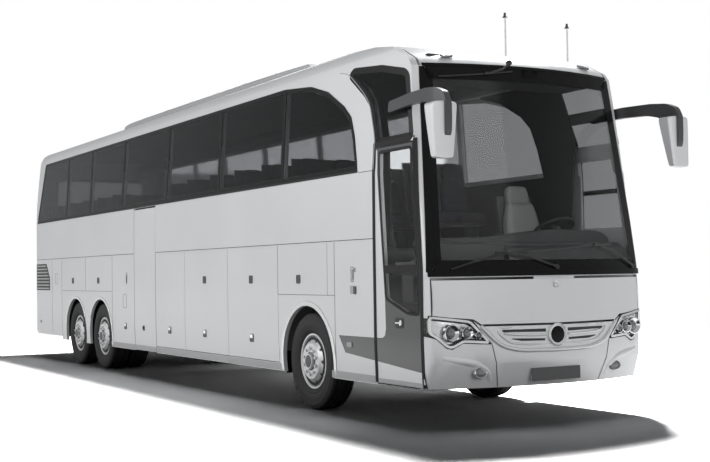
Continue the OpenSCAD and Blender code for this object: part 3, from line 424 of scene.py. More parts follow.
def finish_sheet(piece, inward, thick, lift):
    for vert in piece.data.vertices:
        vert.co = meet(vert.co, inward, lift)
    alone(piece)
    edit_all()
    bpy.ops.mesh.remove_doubles(threshold=0.0002)
    bpy.ops.object.mode_set(mode="OBJECT")
    turned = sum((face.normal * face.area for face in piece.data.polygons), Vector())
    if turned.dot(inward) > 0:
        piece.data.flip_normals()
    solid = piece.modifiers.new("thickness", "SOLIDIFY")
    solid.thickness = thick
    solid.offset = 1
    settle(piece)
    return piece


def sheet(name, points, inward, thick=0.001, steps=0.12, lift=0.0004):
    """A sheet cut to an outline and laid on the skin."""
    piece = face_of(points, name)
    bpy.ops.object.mode_set(mode="EDIT")
    for axis in range(3):
        if abs(inward[axis]) > 0.5:
            continue
        low, high = min(p[axis] for p in points), max(p[axis] for p in points)
        count = int((high - low) / steps)
        cut_across(axis, [low + (high - low) * i / (count + 1) for i in range(1, count + 1)])
    bpy.ops.object.mode_set(mode="OBJECT")
    return finish_sheet(piece, inward, thick, lift)


def strip(name, points, width, inward, thick=0.001, closed=False, steps=0.1, lift=0.0004):
    """A strip of even width laid on the skin along a line."""
    line = [Vector(p) for p in points] + ([Vector(points[0])] if closed else [])
    fine = []
    for one, two in zip(line, line[1:]):
        count = max(1, int((two - one).length / steps))
        fine += [one.lerp(two, k / count) for k in range(count)]
    fine.append(line[-1])
    bpy.ops.mesh.primitive_grid_add(x_subdivisions=len(fine) - 1, y_subdivisions=1)
    piece = bpy.context.object
    piece.name = name
    last = len(fine) - 1
    for i, here in enumerate(fine):
        before = fine[i - 1] if i else (fine[last - 1] if closed else here)
        after = fine[i + 1] if i < last else (fine[1] if closed else here)
        aside = (after - before).cross(inward).normalized() * width / 2
        piece.data.vertices[i].co = here - aside
        piece.data.vertices[i + len(fine)].co = here + aside
    return finish_sheet(piece, inward, thick, lift)


def moulding(name, points, radius, closed=False, round_steps=2):
    """A round bar swept along a line of points."""
    points = [Vector(p) for p in points]
    if len(points) == 2:
        points.insert(1, points[0].lerp(points[1], 0.5))
    bpy.ops.mesh.primitive_circle_add(vertices=len(points))
    piece = bpy.context.object
    piece.name = name
    for vert, point in zip(piece.data.vertices, points):
        vert.co = point
    if not closed:
        bpy.ops.object.mode_set(mode="EDIT")
        bpy.ops.mesh.select_all(action="DESELECT")
        bpy.ops.object.mode_set(mode="OBJECT")
        for edge in piece.data.edges:
            edge.select = set(edge.vertices) == {0, len(points) - 1}
        bpy.ops.object.mode_set(mode="EDIT")
        bpy.ops.mesh.select_mode(type="EDGE")
        bpy.ops.mesh.delete(type="EDGE")
        bpy.ops.object.mode_set(mode="OBJECT")
    bpy.ops.object.convert(target="CURVE")
    piece.data.bevel_depth = radius
    piece.data.bevel_resolution = round_steps
    piece.data.use_fill_caps = True
    bpy.ops.object.convert(target="MESH")
    settle(piece)
    return piece


sealant = coating("joint_sealant", (0.012, 0.012, 0.012), (0.03, 0.03, 0.03), 120, 0.6, 0, 0.1)
arch_line_z, belt_z = 1.24, 1.7895
rear_joint, rear_arch_front = tail_end + 1.85, tail_end + 4.66
front_arch_rear, front_arch_front = nose_tip - 3.4, nose_tip - 2.04
door_rear, door_front = nose_tip - 1.20, nose_tip - 0.36
mid_rear, mid_front = tail_end + 5.69, tail_end + 6.61
joints = []
flap_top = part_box("flap_right_1")[1][2] + 0.0105
door_or_mid = {-1: mid_rear, 1: door_front}
for side in (-1, 1):
    for line, wide in (([(rear_joint, arch_line_z), (rear_arch_front, arch_line_z)], 0.005),
                       ([(front_arch_rear, arch_line_z), (front_arch_front, arch_line_z)], 0.005),
                       ([(tail_end + 1.22, 0.5), (tail_end + 1.22, belt_z)], 0.005),
                       ([(tail_end + 3.25, arch_line_z), (tail_end + 3.25, belt_z)], 0.005),
                       ([(rear_joint, 0.39), (rear_joint, belt_z)], 0.005),
                       ([(rear_arch_front, 0.39), (rear_arch_front, belt_z)], 0.005),
                       ([(front_arch_rear, arch_line_z), (front_arch_rear, belt_z)], 0.005),
                       ([(front_arch_front, 0.39), (front_arch_front, belt_z)], 0.005),
                       ([(front_arch_front - 0.16, arch_line_z), (front_arch_front - 0.16, belt_z)], 0.003),
                       ([(tail_end + 0.2, flap_top), (door_or_mid[side], flap_top)], 0.007)):
        joints.append(strip("joint", on_side(line, side), wide, into[side]))
joints.append(strip("joint", on_side([(mid_front, flap_top), (door_rear, flap_top)], -1), 0.007, to_left))
joints.append(strip("joint", on_side([(door_rear - 0.32, 2.474), (door_rear, 2.474)], -1), 0.005, to_left))
set_of("panel_joints", joints, sealant)


# Window glass: tinted panes bonded flush over the posts, with a black printed border that hides
# the glue. The windscreen is one bowed sheet, lighter in tint than the side and rear panes.
def glazing(name, tint, rough=0.02, bend=1.16):
    made = coating(name, tuple(c * 0.94 for c in tint), tint, 2.2, rough)
    pane = made.node_tree.nodes["Principled BSDF"]
    pane.inputs["Transmission Weight"].default_value = 1.0
    pane.inputs["IOR"].default_value = bend
    return made


dark_glass = glazing("privacy_glass", (0.23, 0.235, 0.24))
light_glass = glazing("screen_glass", (0.78, 0.79, 0.79))
for node in ("side_windows_right", "side_windows_left", "windscreen", "rear_window"):
    made_for(node, f"{node}_glass", 0.002, light_glass if node == "windscreen" else dark_glass)

border_black = coating("border_black", (0.004, 0.004, 0.004), (0.009, 0.009, 0.009), 40, 0.22)
border_black.node_tree.nodes["Principled BSDF"].inputs["Specular IOR Level"].default_value = 0.12
glass_low, glass_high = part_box("side_windows_right")[0][2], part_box("side_windows_right")[1][2]
glass_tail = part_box("side_windows_right")[0][0]
front_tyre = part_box("tyre_front_left")
axle_x = (front_tyre[0][0] + front_tyre[1][0]) / 2
post_places = [axle_x - back for back in (9.25, 7.88, 6.23, 4.31, 2.45, 0.61)]
door_top = 2.70
window_band = [(glass_tail + 0.02, glass_low + 0.02), (glass_tail + 0.38, glass_high - 0.02),
               (axle_x - 0.61, glass_high - 0.022), (axle_x + 0.04, glass_high - 0.08),
               (axle_x + 0.43, glass_high - 0.195), (axle_x + 0.79, glass_high - 0.39),
               (axle_x + 0.955, glass_low + 0.55), (axle_x + 1.045, glass_low + 0.34),
               (axle_x + 1.125, glass_low + 0.02)]
quarter = [(axle_x + 0.93, glass_high - 0.075), (axle_x + 1.255, 3.262), (axle_x + 1.39, 3.13),
           (axle_x + 1.515, 2.79), (axle_x + 1.515, door_top + 0.045), (door_front - 0.165, door_top + 0.045),
           (door_front - 0.275, 3.33), (door_front - 0.335, 3.375), (axle_x + 1.56, glass_high - 0.09),
           (axle_x + 1.0, glass_high - 0.035)]
driver_light = [(door_rear + 0.075, 1.875), (door_rear + 0.075, door_top - 0.065),
                (door_front - 0.19, door_top - 0.065), (door_front - 0.085, 1.875)]
borders = []


def border(line, wide, inward, closed=False, **more):
    borders.append(strip("border", line, wide, inward, closed=closed, **more))


slide_z = 2.28
for side, inward in into.items():
    border(rounded(on_side(window_band, side), 0.06), 0.045, inward, True)
    for x in post_places:
        border(on_side([(x, glass_low + 0.02), (x, glass_high - 0.03)], side), 0.075, inward)
    border(rounded(on_side(quarter, side), 0.03), 0.07, inward, True)
    if side > 0:
        border(rounded(on_side(driver_light, side), 0.06), 0.05, inward, True)
        border(on_side([(door_rear + 0.09, slide_z), (door_front - 0.13, slide_z)], side), 0.05, inward)
screen_line = ((-1.19, 1.475), (1.19, 1.475), (1.075, 3.385), (-1.075, 3.385))
border(rounded(on_end(9, screen_line), 0.12), 0.10, to_tail, True, steps=0.06)
for wide_edges in (((-1.2, 1.443), (1.2, 1.443), (1.19, 1.57), (-1.19, 1.57)),
                   ((-1.09, 3.29), (1.09, 3.29), (1.085, 3.415), (-1.085, 3.415))):
    borders.append(sheet("border", on_end(9, wide_edges), to_tail, steps=0.07))
for side in (-1, 1):
    border(on_end(9, ((1.244, 1.462), (1.121, 3.41)), side), 0.045, to_tail, steps=0.08)
cowl_low, cowl_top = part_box("nose_flap")[1][2] + 0.006, 1.475
cowl_mid = (cowl_low + cowl_top) / 2
border(on_end(9, ((-1.262, cowl_mid), (1.262, cowl_mid))), cowl_top - cowl_low, to_tail, thick=0.003, steps=0.06,
       lift=0.013)
border(on_end(9, ((-1.115, 3.427), (1.115, 3.427))), 0.03, to_tail, thick=0.004, steps=0.06, lift=0.003)
border(box_on_end(-9, -0.855, 0.855, glass_low + 0.085, glass_high - 0.245, 0.08), 0.05, to_nose, True)
set_of("glass_borders", borders, border_black)

# Rubber and rails round the side glass: a dark strip under the window line, and a bright rolled
# edge on the broad hoop in front of the last side window.
rubber = coating("seal_rubber", (0.008, 0.008, 0.008), (0.018, 0.018, 0.018), 300, 0.6, 0, 0.15)
rubber.node_tree.nodes["Principled BSDF"].inputs["Specular IOR Level"].default_value = 0.2
seals = []
seal_z = glass_low - 0.012
for side, inward in into.items():
    seals.append(strip("seal", on_side([(glass_tail + 0.01, seal_z), (axle_x + 1.15, seal_z)], side), 0.024, inward,
                       0.002))
seal_x = door_rear - 0.016
for line, wide in (([(seal_x, 0.40), (seal_x, glass_high - 0.9), (seal_x, 2.74)], 0.034),
                   ([(door_front + 0.012, 0.40), (door_front + 0.012, 1.5), (door_front - 0.118, 2.72)], 0.04),
                   ([(door_rear - 0.02, 2.722), (door_front - 0.12, 2.722)], 0.045)):
    seals.append(strip("seal", on_side(line, -1), wide, to_left, 0.003))
set_of("body_seals", seals, rubber)
bright_metal = coating("bright_metal", (0.62, 0.62, 0.63), (0.74, 0.74, 0.75), 500, 0.16, 0.95, 0.01)
hoop_line = [(axle_x + x, z) for x, z in ((0.70, glass_high - 0.012), (0.90, glass_high - 0.055), (1.215, 3.28),
                                          (1.35, 3.145), (1.472, 2.80), (1.472, glass_low - 0.02))]
hoop_rails = []
for side, inward in into.items():
    hoop = rounded(on_side(hoop_line, side), 0.08, closed=False)
    hoop_rails.append(moulding("hoop_rail", [meet(p, inward) for p in hoop], 0.007))
set_of("hoop_edges", hoop_rails, bright_metal)


# Front door: a plug leaf with a dark lower panel, a tall bonded pane above it with one cross bar,
# and a silver heel at its rear edge. A wide recess holds its round lock.
door_leaf = sheet_copy("front_door", "front_door_leaf", 0)
pane_line = [(door_rear + 0.085, 2.64), (door_rear + 0.205, 1.22), (door_rear + 0.60, 1.085),
             (door_front - 0.045, 1.075), (door_front - 0.045, 1.50), (door_front - 0.165, 2.64)]


def pane_cutter():
    return bar_of(rounded([Vector((x, -1.6, z)) for x, z in pane_line], 0.04), (0, 0.6, 0))


cut_from(door_leaf, pane_cutter())
roll_edges(door_leaf, 0.002)
settle(door_leaf)
joins(door_leaf, silver, "front_door")
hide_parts("front_door")

dark_lacquer = coating("dark_lacquer", (0.030, 0.031, 0.033), (0.045, 0.046, 0.048), 700, 0.3, 0.3, 0.02, 0.4)
heel = [(door_rear + 0.008, 2.685), (door_rear + 0.045, 2.66), (door_rear + 0.185, 1.25),
        (door_rear + 0.195, 0.93), (door_rear + 0.175, 0.86), (door_rear + 0.13, 0.838), (door_rear + 0.008, 0.834)]
dark_part = heel + [(door_rear + 0.008, 0.607), (door_front - 0.008, 0.540), (door_front - 0.008, 1.5),
                    (door_front - 0.138, 2.685)]
door_dark = sheet("door_dark_panel", on_side(dark_part, -1), to_left, 0.0015)
cut_from(door_dark, pane_cutter())
settle(door_dark)
joins(door_dark, dark_lacquer, "front_door")
pane_corners = rounded([Vector(p) for p in pane_line], 0.04)
door_pane = sheet("door_pane", on_side(pane_corners, -1), to_left, 0.004, lift=-0.008)
joins(door_pane, light_glass, "front_door")
pane_rim = strip("door_pane_rim", rounded(on_side(pane_line, -1), 0.04), 0.03, to_left, 0.003,
                 closed=True, lift=0.0018)
cross_bar = strip("door_cross_bar", on_side([(door_rear + 0.19, 1.50), (door_front - 0.045, 1.50)], -1), 0.075,
                  to_left, 0.004)
leaf_edge = [(door_rear + 0.012, 0.395), (door_front - 0.012, 0.395), (door_front - 0.012, 1.5),
             (door_front - 0.142, 2.688), (door_rear + 0.012, 2.688)]
edge_rubber = strip("door_edge_rubber", on_side(leaf_edge, -1), 0.013, to_left, 0.002, closed=True, lift=0.0018)
set_of("door_trim", [pane_rim, cross_bar, edge_rubber], rubber, "front_door")
swoosh_line = [(door_rear - 0.76, 0.832), (door_rear - 0.63, 0.66), (door_rear - 0.034, 0.611),
               (door_rear - 0.034, 0.834)]
joins(sheet("dark_flank", on_side(swoosh_line, -1), to_left, 0.0015), dark_lacquer)


# Flank fittings: the luggage flaps and fixed panels have square latches near their top, and pull
# handles lower down, each a plated blade over a dark cup.
trim_grey = coating("trim_grey", (0.035, 0.036, 0.038), (0.06, 0.061, 0.064), 400, 0.42, 0, 0.1)
plated = coating("plated_metal", (0.55, 0.55, 0.56), (0.78, 0.78, 0.79), 260, 0.14, 1.0, 0.02)
sill_grey = coating("sill_lacquer", (0.30, 0.305, 0.31), (0.36, 0.365, 0.37), 700, 0.42, 0.3, 0.03, 0.1)


def box_line(x, z, wide, high, turn=0.012):
    corners = [(x - wide / 2, z - high / 2), (x + wide / 2, z - high / 2), (x + wide / 2, z + high / 2),
               (x - wide / 2, z + high / 2)]
    return rounded([Vector((cx, -2, cz)) for cx, cz in corners], turn, steps=3)


def facing(line, side):
    return [Vector((p[0], abs(p[1]) * side, p[2])) for p in line]


def latch(x, z, side, body, name):
    dish = sheet("dish", facing(box_line(x, z, 0.078, 0.082), side), into[side], 0.003)
    rim = strip("rim", facing(box_line(x, z, 0.082, 0.086), side), 0.010, into[side], 0.006, closed=True)
    plate = sheet("plate", facing(box_line(x, z - 0.002, 0.044, 0.030, 0.006), side), into[side], 0.007)
    set_of(name, [dish, rim, plate], trim_grey, body)


def pull(x, z, side, body, name):
    cup = sheet("cup", facing(box_line(x, z - 0.014, 0.088, 0.056), side), into[side], 0.003)
    rim = strip("rim", facing(box_line(x, z, 0.094, 0.088), side), 0.008, into[side], 0.006, closed=True)
    set_of(f"{name}_cup", [cup, rim], trim_grey, body)
    blade_line = facing(box_line(x, z + 0.02, 0.080, 0.042, 0.008), side)
    joins(sheet(f"{name}_blade", blade_line, into[side], 0.008), plated, body)


latches = ((2.53, 0), (3.95, 0), (8.44, 2), (9.89, 3), (11.15, 0))
pulls = ((5.28, 0), (7.16, 1), (8.43, 2), (9.89, 3))
for side, word in sides:
    for make, what, z, places in ((latch, "latch", 1.41, latches), (pull, "pull", 0.72, pulls)):
        for number, (x, flap) in enumerate(places):
            body = f"flap_{word}_{flap}" if flap else "coach_body"
            make(tail_end + x, z, side, body, f"{what}_{word}_{number}")

# Sills: a darker rubbing strip closes the lower edge of the flanks between the wheels, in one
# length on each panel that it crosses.
def sill(x0, x1, side, body, name, low=0.388, high=0.462):
    line = [(x0, low), (x1, low), (x1, high), (x0, high)]
    joins(sheet(name, on_side(line, side), into[side], 0.002), sill_grey, body)


for side, word in sides:
    sill(mid_front + 0.004, front_arch_rear + 0.095, side, "coach_body", f"sill_bay_{word}")
    sill(front_arch_front - 0.08, door_rear - 0.036 if side < 0 else door_front - 0.01, side, "coach_body",
         f"sill_front_{word}")
    sill(rear_arch_front - 0.06, mid_rear - 0.004 if side < 0 else mid_front, side, "coach_body",
         f"sill_mid_{word}")
sill(mid_rear + 0.008, mid_front - 0.008, -1, "mid_door", "sill_mid_door")
sill(door_rear + 0.010, door_front - 0.010, -1, "front_door", "sill_front_door", 0.389, 0.445)

# Wheel arch lips: broad rolled edges, a little proud of the panel, follow each arch from sill to sill.
wheel_z = front_tyre[1][2] / 2
drive_tyre, tag_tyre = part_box("tyre_drive_left"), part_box("tyre_tag_left")
drive_x, tag_x = (drive_tyre[0][0] + drive_tyre[1][0]) / 2, (tag_tyre[0][0] + tag_tyre[1][0]) / 2
lip_silver = coating("lip_silver", (0.60, 0.605, 0.61), (0.66, 0.665, 0.67), 900, 0.26, 0.45, 0.02, 0.5)


def arch_lip(x, radius, wide, start, end, side):
    count, reach = 30, radius + wide / 2
    turns = [math.radians(start + (end - start) * k / count) for k in range(count + 1)]
    arc = [(x + reach * math.cos(turn), wheel_z + reach * math.sin(turn)) for turn in turns]
    return strip("lip", on_side(arc, side), wide, into[side], 0.007, steps=0.05)


lips = []
for side in (-1, 1):
    lips.append(arch_lip(axle_x, 0.600, 0.052, -12, 192, side))
    lips.append(arch_lip(drive_x, 0.585, 0.045, -12, 152, side))
    lips.append(arch_lip(tag_x, 0.585, 0.045, 28, 192, side))
set_of("arch_lips", lips, lip_silver, edge=0.003)

# Engine louvres: a dark recess high on each rear flank, cut off aslant at its front, holds eight
# slats.
vent_rear, vent_front, vent_low, vent_high = tail_end + 0.17, tail_end + 1.07, 1.24, 1.72
for side, word in sides:
    vent_line = [(vent_rear, vent_low), (vent_front, vent_low), (vent_front, vent_low + 0.22),
                 (vent_front - 0.22, vent_high), (vent_rear, vent_high)]
    joins(sheet(f"louvre_back_{word}", on_side(vent_line, side), into[side], 0.002), sealant)
    slats = []
    for number in range(8):
        z = vent_low + 0.035 + number * 0.058
        reach = vent_front - 0.02 - max(0, z - vent_low - 0.22)
        line = on_side([(vent_rear + 0.015, z), (reach, z)], side)
        slats.append(strip("slat", line, 0.026, into[side], 0.011))
    set_of(f"louvres_{word}", slats, sill_grey, edge=0.004)

# Small fittings by the doors: switch, tap and socket covers, the lamp in the dark flank, and the
# round lock of each entrance.
def fitting(name, x, z, wide, high, turn, thick, side=-1, lift=0.0004):
    """A small flat piece with round corners, laid on a flank."""
    return sheet(name, facing(box_line(x, z, wide, high, turn), side), into[side], thick, lift=lift)


def seam(x, z, wide, high, turn, line_wide, thick, side=-1):
    """A joint round a small cover on a flank."""
    line = facing(box_line(x, z, wide, high, turn), side)
    return strip("seam", line, line_wide, into[side], thick, closed=True)


door_side_x = door_rear - 0.46
bare = []
for side in (-1, 1):
    bare.append(seam(tail_end + 5.26, 1.10, 0.15, 0.20, 0.02, 0.005, 0.001, side))
    bare.append(seam(tail_end + 5.35, 1.44, 0.04, 0.17, 0.015, 0.006, 0.001, side))
    bare.append(fitting("slot", tail_end + 5.35, 1.43, 0.018, 0.12, 0.008, 0.002, side))
    bare.append(seam(tail_end + 1.50, 1.45, 0.12, 0.18, 0.02, 0.004, 0.001, side))
bare.append(seam(door_side_x, 1.455, 0.052, 0.15, 0.022, 0.006, 0.002))
bare.append(seam(door_side_x + 0.055, 1.50, 0.02, 0.04, 0.006, 0.005, 0.002))
set_of("service_covers", bare, sealant)
joins(fitting("tap_plate", door_side_x, 1.45, 0.03, 0.11, 0.012, 0.006), plated)
socket_light = fitting("socket_light", door_side_x - 0.005, 1.30, 0.075, 0.082, 0.006, 0.004)
joins(socket_light, sill_grey)
joins(fitting("socket_dark", door_side_x + 0.055, 1.295, 0.045, 0.078, 0.006, 0.010), trim_grey)
side_lamp_glass = coating("side_lamp_glass", (0.10, 0.10, 0.105), (0.20, 0.20, 0.205), 60, 0.12, 0, 0.2, 0.6)
markers = [fitting("marker", x, z, 0.105, 0.05, 0.012, 0.008, side) for side, x, z in (
    (-1, door_rear - 0.535, 0.745), (-1, tail_end + 0.42, 0.66), (1, tail_end + 0.42, 0.66),
    (1, door_rear - 0.535, 0.745))]
set_of("side_markers", markers, side_lamp_glass)
lock_dish = fitting("lock_dish", door_rear + 0.45, 0.99, 0.155, 0.10, 0.03, 0.003, lift=0.0018)
joins(lock_dish, sealant, "front_door")


def press_in(piece, toward, *presses):
    """Insets the faces that look one way; each press is an inset and a depth."""
    alone(piece)
    for face in piece.data.polygons:
        face.select = face.normal.dot(Vector(toward)) > 0.9
    bpy.ops.object.mode_set(mode="EDIT")
    bpy.ops.mesh.select_mode(type="FACE")
    for inset, depth in presses:
        bpy.ops.mesh.inset(thickness=inset, depth=depth)
    bpy.ops.object.mode_set(mode="OBJECT")


def round_knob(name, x, z, radius, stand, finish, body):
    """A turned knob that stands out from the right flank."""
    seat = meet((x, -2, z), to_left)
    bpy.ops.mesh.primitive_cylinder_add(vertices=24, radius=radius, depth=stand,
                                        location=(x, seat.y - stand / 2 + 0.002, z),
                                        rotation=(math.pi / 2, 0, 0))
    knob = bpy.context.object
    knob.name = name
    bpy.ops.object.transform_apply()
    bpy.ops.object.mode_set(mode="EDIT")
    bpy.ops.mesh.select_all(action="DESELECT")
    bpy.ops.object.mode_set(mode="OBJECT")
    press_in(knob, to_right, (radius * 0.3, 0), (radius * 0.15, -stand * 0.3))
    roll_edges(knob, radius * 0.12)
    settle(knob)
    joins(knob, finish, body)


round_knob("front_lock", door_rear + 0.475, 0.99, 0.026, 0.014, plated, "front_door")
joins(fitting("lock_arm", door_rear + 0.42, 0.99, 0.07, 0.014, 0.005, 0.012), plated, "front_door")
joins(fitting("mid_lock_dish", mid_rear + 0.41, 0.715, 0.07, 0.075, 0.015, 0.003), sealant, "mid_door")
round_knob("mid_lock", mid_rear + 0.40, 0.715, 0.022, 0.016, trim_grey, "mid_door")


# Nose flap cap and joints: the flap is one pressed panel under a black apron; its lock has a round
# cap. Fine joints part the bumper into a middle and two corners.
lock_seat = meet((9, 0, 1.335), to_tail)
bpy.ops.mesh.primitive_cylinder_add(vertices=32, radius=0.030, depth=0.016,
                                    location=(lock_seat.x + 0.003, 0, 1.335), rotation=(0, math.pi / 2, 0))
flap_cap = bpy.context.object
flap_cap.name = "nose_flap_cap"
bpy.ops.object.transform_apply()
press_in(flap_cap, to_nose, (0.008, -0.004), (0.005, 0.004))
roll_edges(flap_cap, 0.0015)
settle(flap_cap)
joins(flap_cap, plated, "nose_flap")


def on_nose(points, side=1):
    return on_end(9, points, side)


nose_joints = []
for side in (-1, 1):
    for line, wide in (([(0.694, 0.790), (0.655, 0.62), (0.60, 0.40)], 0.006),
                       ([(1.235, 1.047), (1.235, 1.40)], 0.008)):
        nose_joints.append(strip("joint", on_nose(line, side), wide, to_tail))
set_of("nose_joints", nose_joints, sealant)

# Grille: a pressed bowl with a broad rolled lip under it, two dark air slots each side of a plain
# round boss, and a rib between the slots.
grille_lip = moulding("grille_lip", [meet(p, to_tail, 0.002) for p in rounded(on_nose((
    (-0.800, 0.965), (-0.655, 0.815), (-0.56, 0.762), (-0.40, 0.730), (0, 0.722), (0.40, 0.730), (0.56, 0.762),
    (0.655, 0.815), (0.800, 0.965))), 0.08, closed=False)], 0.020, round_steps=4)
grille_rim = moulding("grille_rim", [meet(p, to_tail, 0.001) for p in rounded(on_nose((
    (-0.62, 0.945), (0.62, 0.945), (0.64, 0.90), (0.52, 0.802), (0.32, 0.782), (-0.32, 0.782), (-0.52, 0.802),
    (-0.64, 0.90))), 0.05)], 0.010, closed=True, round_steps=4)
ribs = []
for side in (-1, 1):
    ribs.append(moulding("grille_rib", [meet(p, to_tail, 0.002) for p in on_nose((
        (0.13, 0.866), (0.30, 0.868), (0.46, 0.876), (0.575, 0.890)), side)], 0.012, round_steps=4))
set_of("grille_forms", [grille_lip, grille_rim] + ribs, lip_silver)
slots_dark = []
for side in (-1, 1):
    for line in (((0.13, 0.893), (0.585, 0.903), (0.600, 0.914), (0.585, 0.924), (0.13, 0.924)),
                 ((0.14, 0.812), (0.40, 0.816), (0.50, 0.836), (0.49, 0.842), (0.14, 0.832))):
        slots_dark.append(sheet("slot", on_nose(line, side), to_tail, 0.001, steps=0.06))
set_of("grille_slots", slots_dark, sealant)


def turned_boss(name, y, z, rings, finish, round_z=1.0, steps=40):
    """A turned form on the nose; rings are radius and height above the skin, from rim to middle."""
    seat = meet((9, y, z), to_tail)
    bpy.ops.mesh.primitive_circle_add(vertices=steps, radius=rings[0][0], fill_type="NGON",
                                      location=(0, 0, 0), rotation=(0, math.pi / 2, 0))
    boss = bpy.context.object
    boss.name = name
    bpy.ops.object.transform_apply(location=False, rotation=True, scale=False)
    edit_all()
    for (before, height), (radius, rise) in zip(rings, rings[1:]):
        bpy.ops.mesh.extrude_region_move(TRANSFORM_OT_translate={"value": (rise - height, 0, 0)})
        ratio = radius / before
        bpy.ops.transform.resize(value=(1, ratio, ratio), center_override=(rise, 0, 0))
    close_form()
    for vert in boss.data.vertices:
        vert.co = Vector((vert.co.x + seat.x, vert.co.y + y, vert.co.z * round_z + z))
    settle(boss)
    joins(boss, finish)


ring_steps = ((0.108, -0.01), (0.108, 0.010), (0.100, 0.016), (0.092, 0.012), (0.090, 0.004))
turned_boss("grille_boss_ring", 0, 0.865, ring_steps, lip_silver)
boss_steps = ((0.092, 0.0), (0.091, 0.010), (0.080, 0.014), (0.045, 0.018), (0.015, 0.019))
turned_boss("grille_boss", 0, 0.865, boss_steps, border_black)

# Number plate: a blank dark plate in a thin frame on the bumper's flat pad.
plate_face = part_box("front_bumper")[1][0] - 0.024
plate_grey = coating("plate_grey", (0.045, 0.046, 0.048), (0.07, 0.071, 0.073), 500, 0.35, 0.2, 0.03)
front_plate = bar_of(box_on_end(plate_face, -0.29, 0.29, 0.435, 0.563, 0.014), (0.012, 0, 0), "front_plate")
press_in(front_plate, to_nose, (0.007, 0), (0.003, -0.003))
roll_edges(front_plate, 0.0012)
settle(front_plate)
joins(front_plate, plate_grey)

# Fog lamps: small oval lenses in bright bezels, each under a soft brow pressed in the bumper.
clear_lens = glazing("clear_lens", (0.92, 0.93, 0.94), 0.03, 1.2)
brows = []
bezel_steps = ((0.074, -0.01), (0.074, 0.008), (0.068, 0.014), (0.058, 0.010), (0.054, -0.004))
glass_steps = ((0.056, 0.0), (0.055, 0.008), (0.040, 0.016), (0.014, 0.019))
brow_corners = ((1.13, 0.680), (1.02, 0.655), (0.84, 0.632), (0.715, 0.560), (0.67, 0.47))
for side, word in sides:
    turned_boss(f"fog_bezel_{word}", side * 0.80, 0.535, bezel_steps, plated, 0.72)
    turned_boss(f"fog_glass_{word}", side * 0.80, 0.535, glass_steps, side_lamp_glass, 0.72)
    brow_line = rounded(on_nose(brow_corners, side), 0.12, closed=False)
    last = len(brow_line) - 1
    ease = [0.0525 + 0.007 * max(0, 1 - 4 * min(k, last - k) / last) for k in range(last + 1)]
    brow_path = [meet(p, to_tail, -sink) for p, sink in zip(brow_line, ease)]
    brows.append(moulding("brow", brow_path, 0.056, round_steps=10))
set_of("fog_brows", brows, silver)

# Headlamps: a clear lens wraps round each corner over a pale grey bowl with two large round
# reflectors and a small turn lamp. A bright bezel and a dark shade follow the lens edge.
made_for("headlamps", "headlamp_lens", 0.002, clear_lens)
bowl_grey = coating("bowl_grey", (0.45, 0.45, 0.455), (0.75, 0.75, 0.76), 14, 0.22, 0.5, 0.1)
mirror_coat = coating("mirror_coat", (0.75, 0.75, 0.76), (0.88, 0.88, 0.89), 90, 0.08, 1.0, 0.05)
lamp_edge = [(1.255, 1.052), (0.905, 1.006), (0.722, 0.812), (0.965, 0.830), (1.005, 0.806), (1.064, 0.775),
             (1.110, 0.784), (1.190, 0.862), (1.255, 0.905)]
apron_edge = [(1.262, 1.066), (0.897, 1.018), (0.697, 0.797), (0.968, 0.814), (1.001, 0.794), (1.064, 0.760),
              (1.114, 0.770), (1.198, 0.852), (1.262, 0.885)]
reflectors = ((1.085, 0.905, 0.082), (0.945, 0.905, 0.062), (0.842, 0.880, 0.036))
reflector_steps = ((1, -0.042), (1, -0.004), (0.9, -0.001), (0.80, -0.008), (0.60, -0.026), (0.30, -0.036))
bulb_steps = ((0.52, -0.032), (0.50, -0.010), (0.36, 0.0), (0.1, 0.003))
lamp_bodies, bezels, shades = [], [], []
for side, word in sides:
    lamp_bodies.append(sheet("bowl", on_nose(lamp_edge, side), to_tail, 0.003, steps=0.06, lift=-0.045))
    rim_line = rounded(on_nose(lamp_edge, side), 0.03)
    shades.append(strip("shade", rim_line, 0.05, to_tail, 0.003, closed=True, steps=0.05, lift=-0.040))
    shades.append(strip("shade", on_nose(apron_edge, side), 0.010, to_tail, 0.001, closed=True, steps=0.05))
    bezels.append(strip("bezel", rim_line, 0.022, to_tail, 0.004, closed=True, steps=0.05, lift=0.0005))
    for number, (y, z, radius) in enumerate(reflectors):
        for what, rings, finish, count in (("reflector", reflector_steps, mirror_coat, 32),
                                           ("bulb", bulb_steps, side_lamp_glass, 24)):
            scaled = [(radius * share, rise) for share, rise in rings]
            turned_boss(f"{what}_{word}_{number}", side * y, z, scaled, finish, steps=count)
set_of("lamp_bowls", lamp_bodies, bowl_grey)
set_of("lamp_shades", shades, sealant)
set_of("lamp_bezels", bezels, lip_silver)


# Mirrors: a moulded silver shell, broad at the top and narrow below, hangs on a dark blade-shaped
# arm whose end runs down over the shell's front as a tongue. The glass faces the tail.
arm_grey = coating("arm_grey", (0.040, 0.041, 0.043), (0.065, 0.066, 0.069), 260, 0.34, 0.1, 0.12)
mirror_glass = coating("mirror_glass", (0.70, 0.71, 0.72), (0.80, 0.81, 0.82), 6, 0.03, 1.0)
shell_tall = 0.51
arm_outline = [(0, 3.005), (0.45, 3.020), (0.75, 3.010), (0.90, 2.975), (1.00, 2.905), (1.055, 2.80),
               (1.085, 2.69), (1.105, 2.655), (1.150, 2.655), (1.172, 2.70), (1.178, 2.82), (1.176, 2.965),
               (1.125, 3.055), (1.00, 3.105), (0.80, 3.125), (0.45, 3.130), (0.02, 3.110)]


def block(size, place, name="block"):
    bpy.ops.mesh.primitive_cube_add(size=1, location=place)
    piece = bpy.context.object
    piece.name = name
    piece.scale = size
    bpy.ops.object.transform_apply()
    return piece


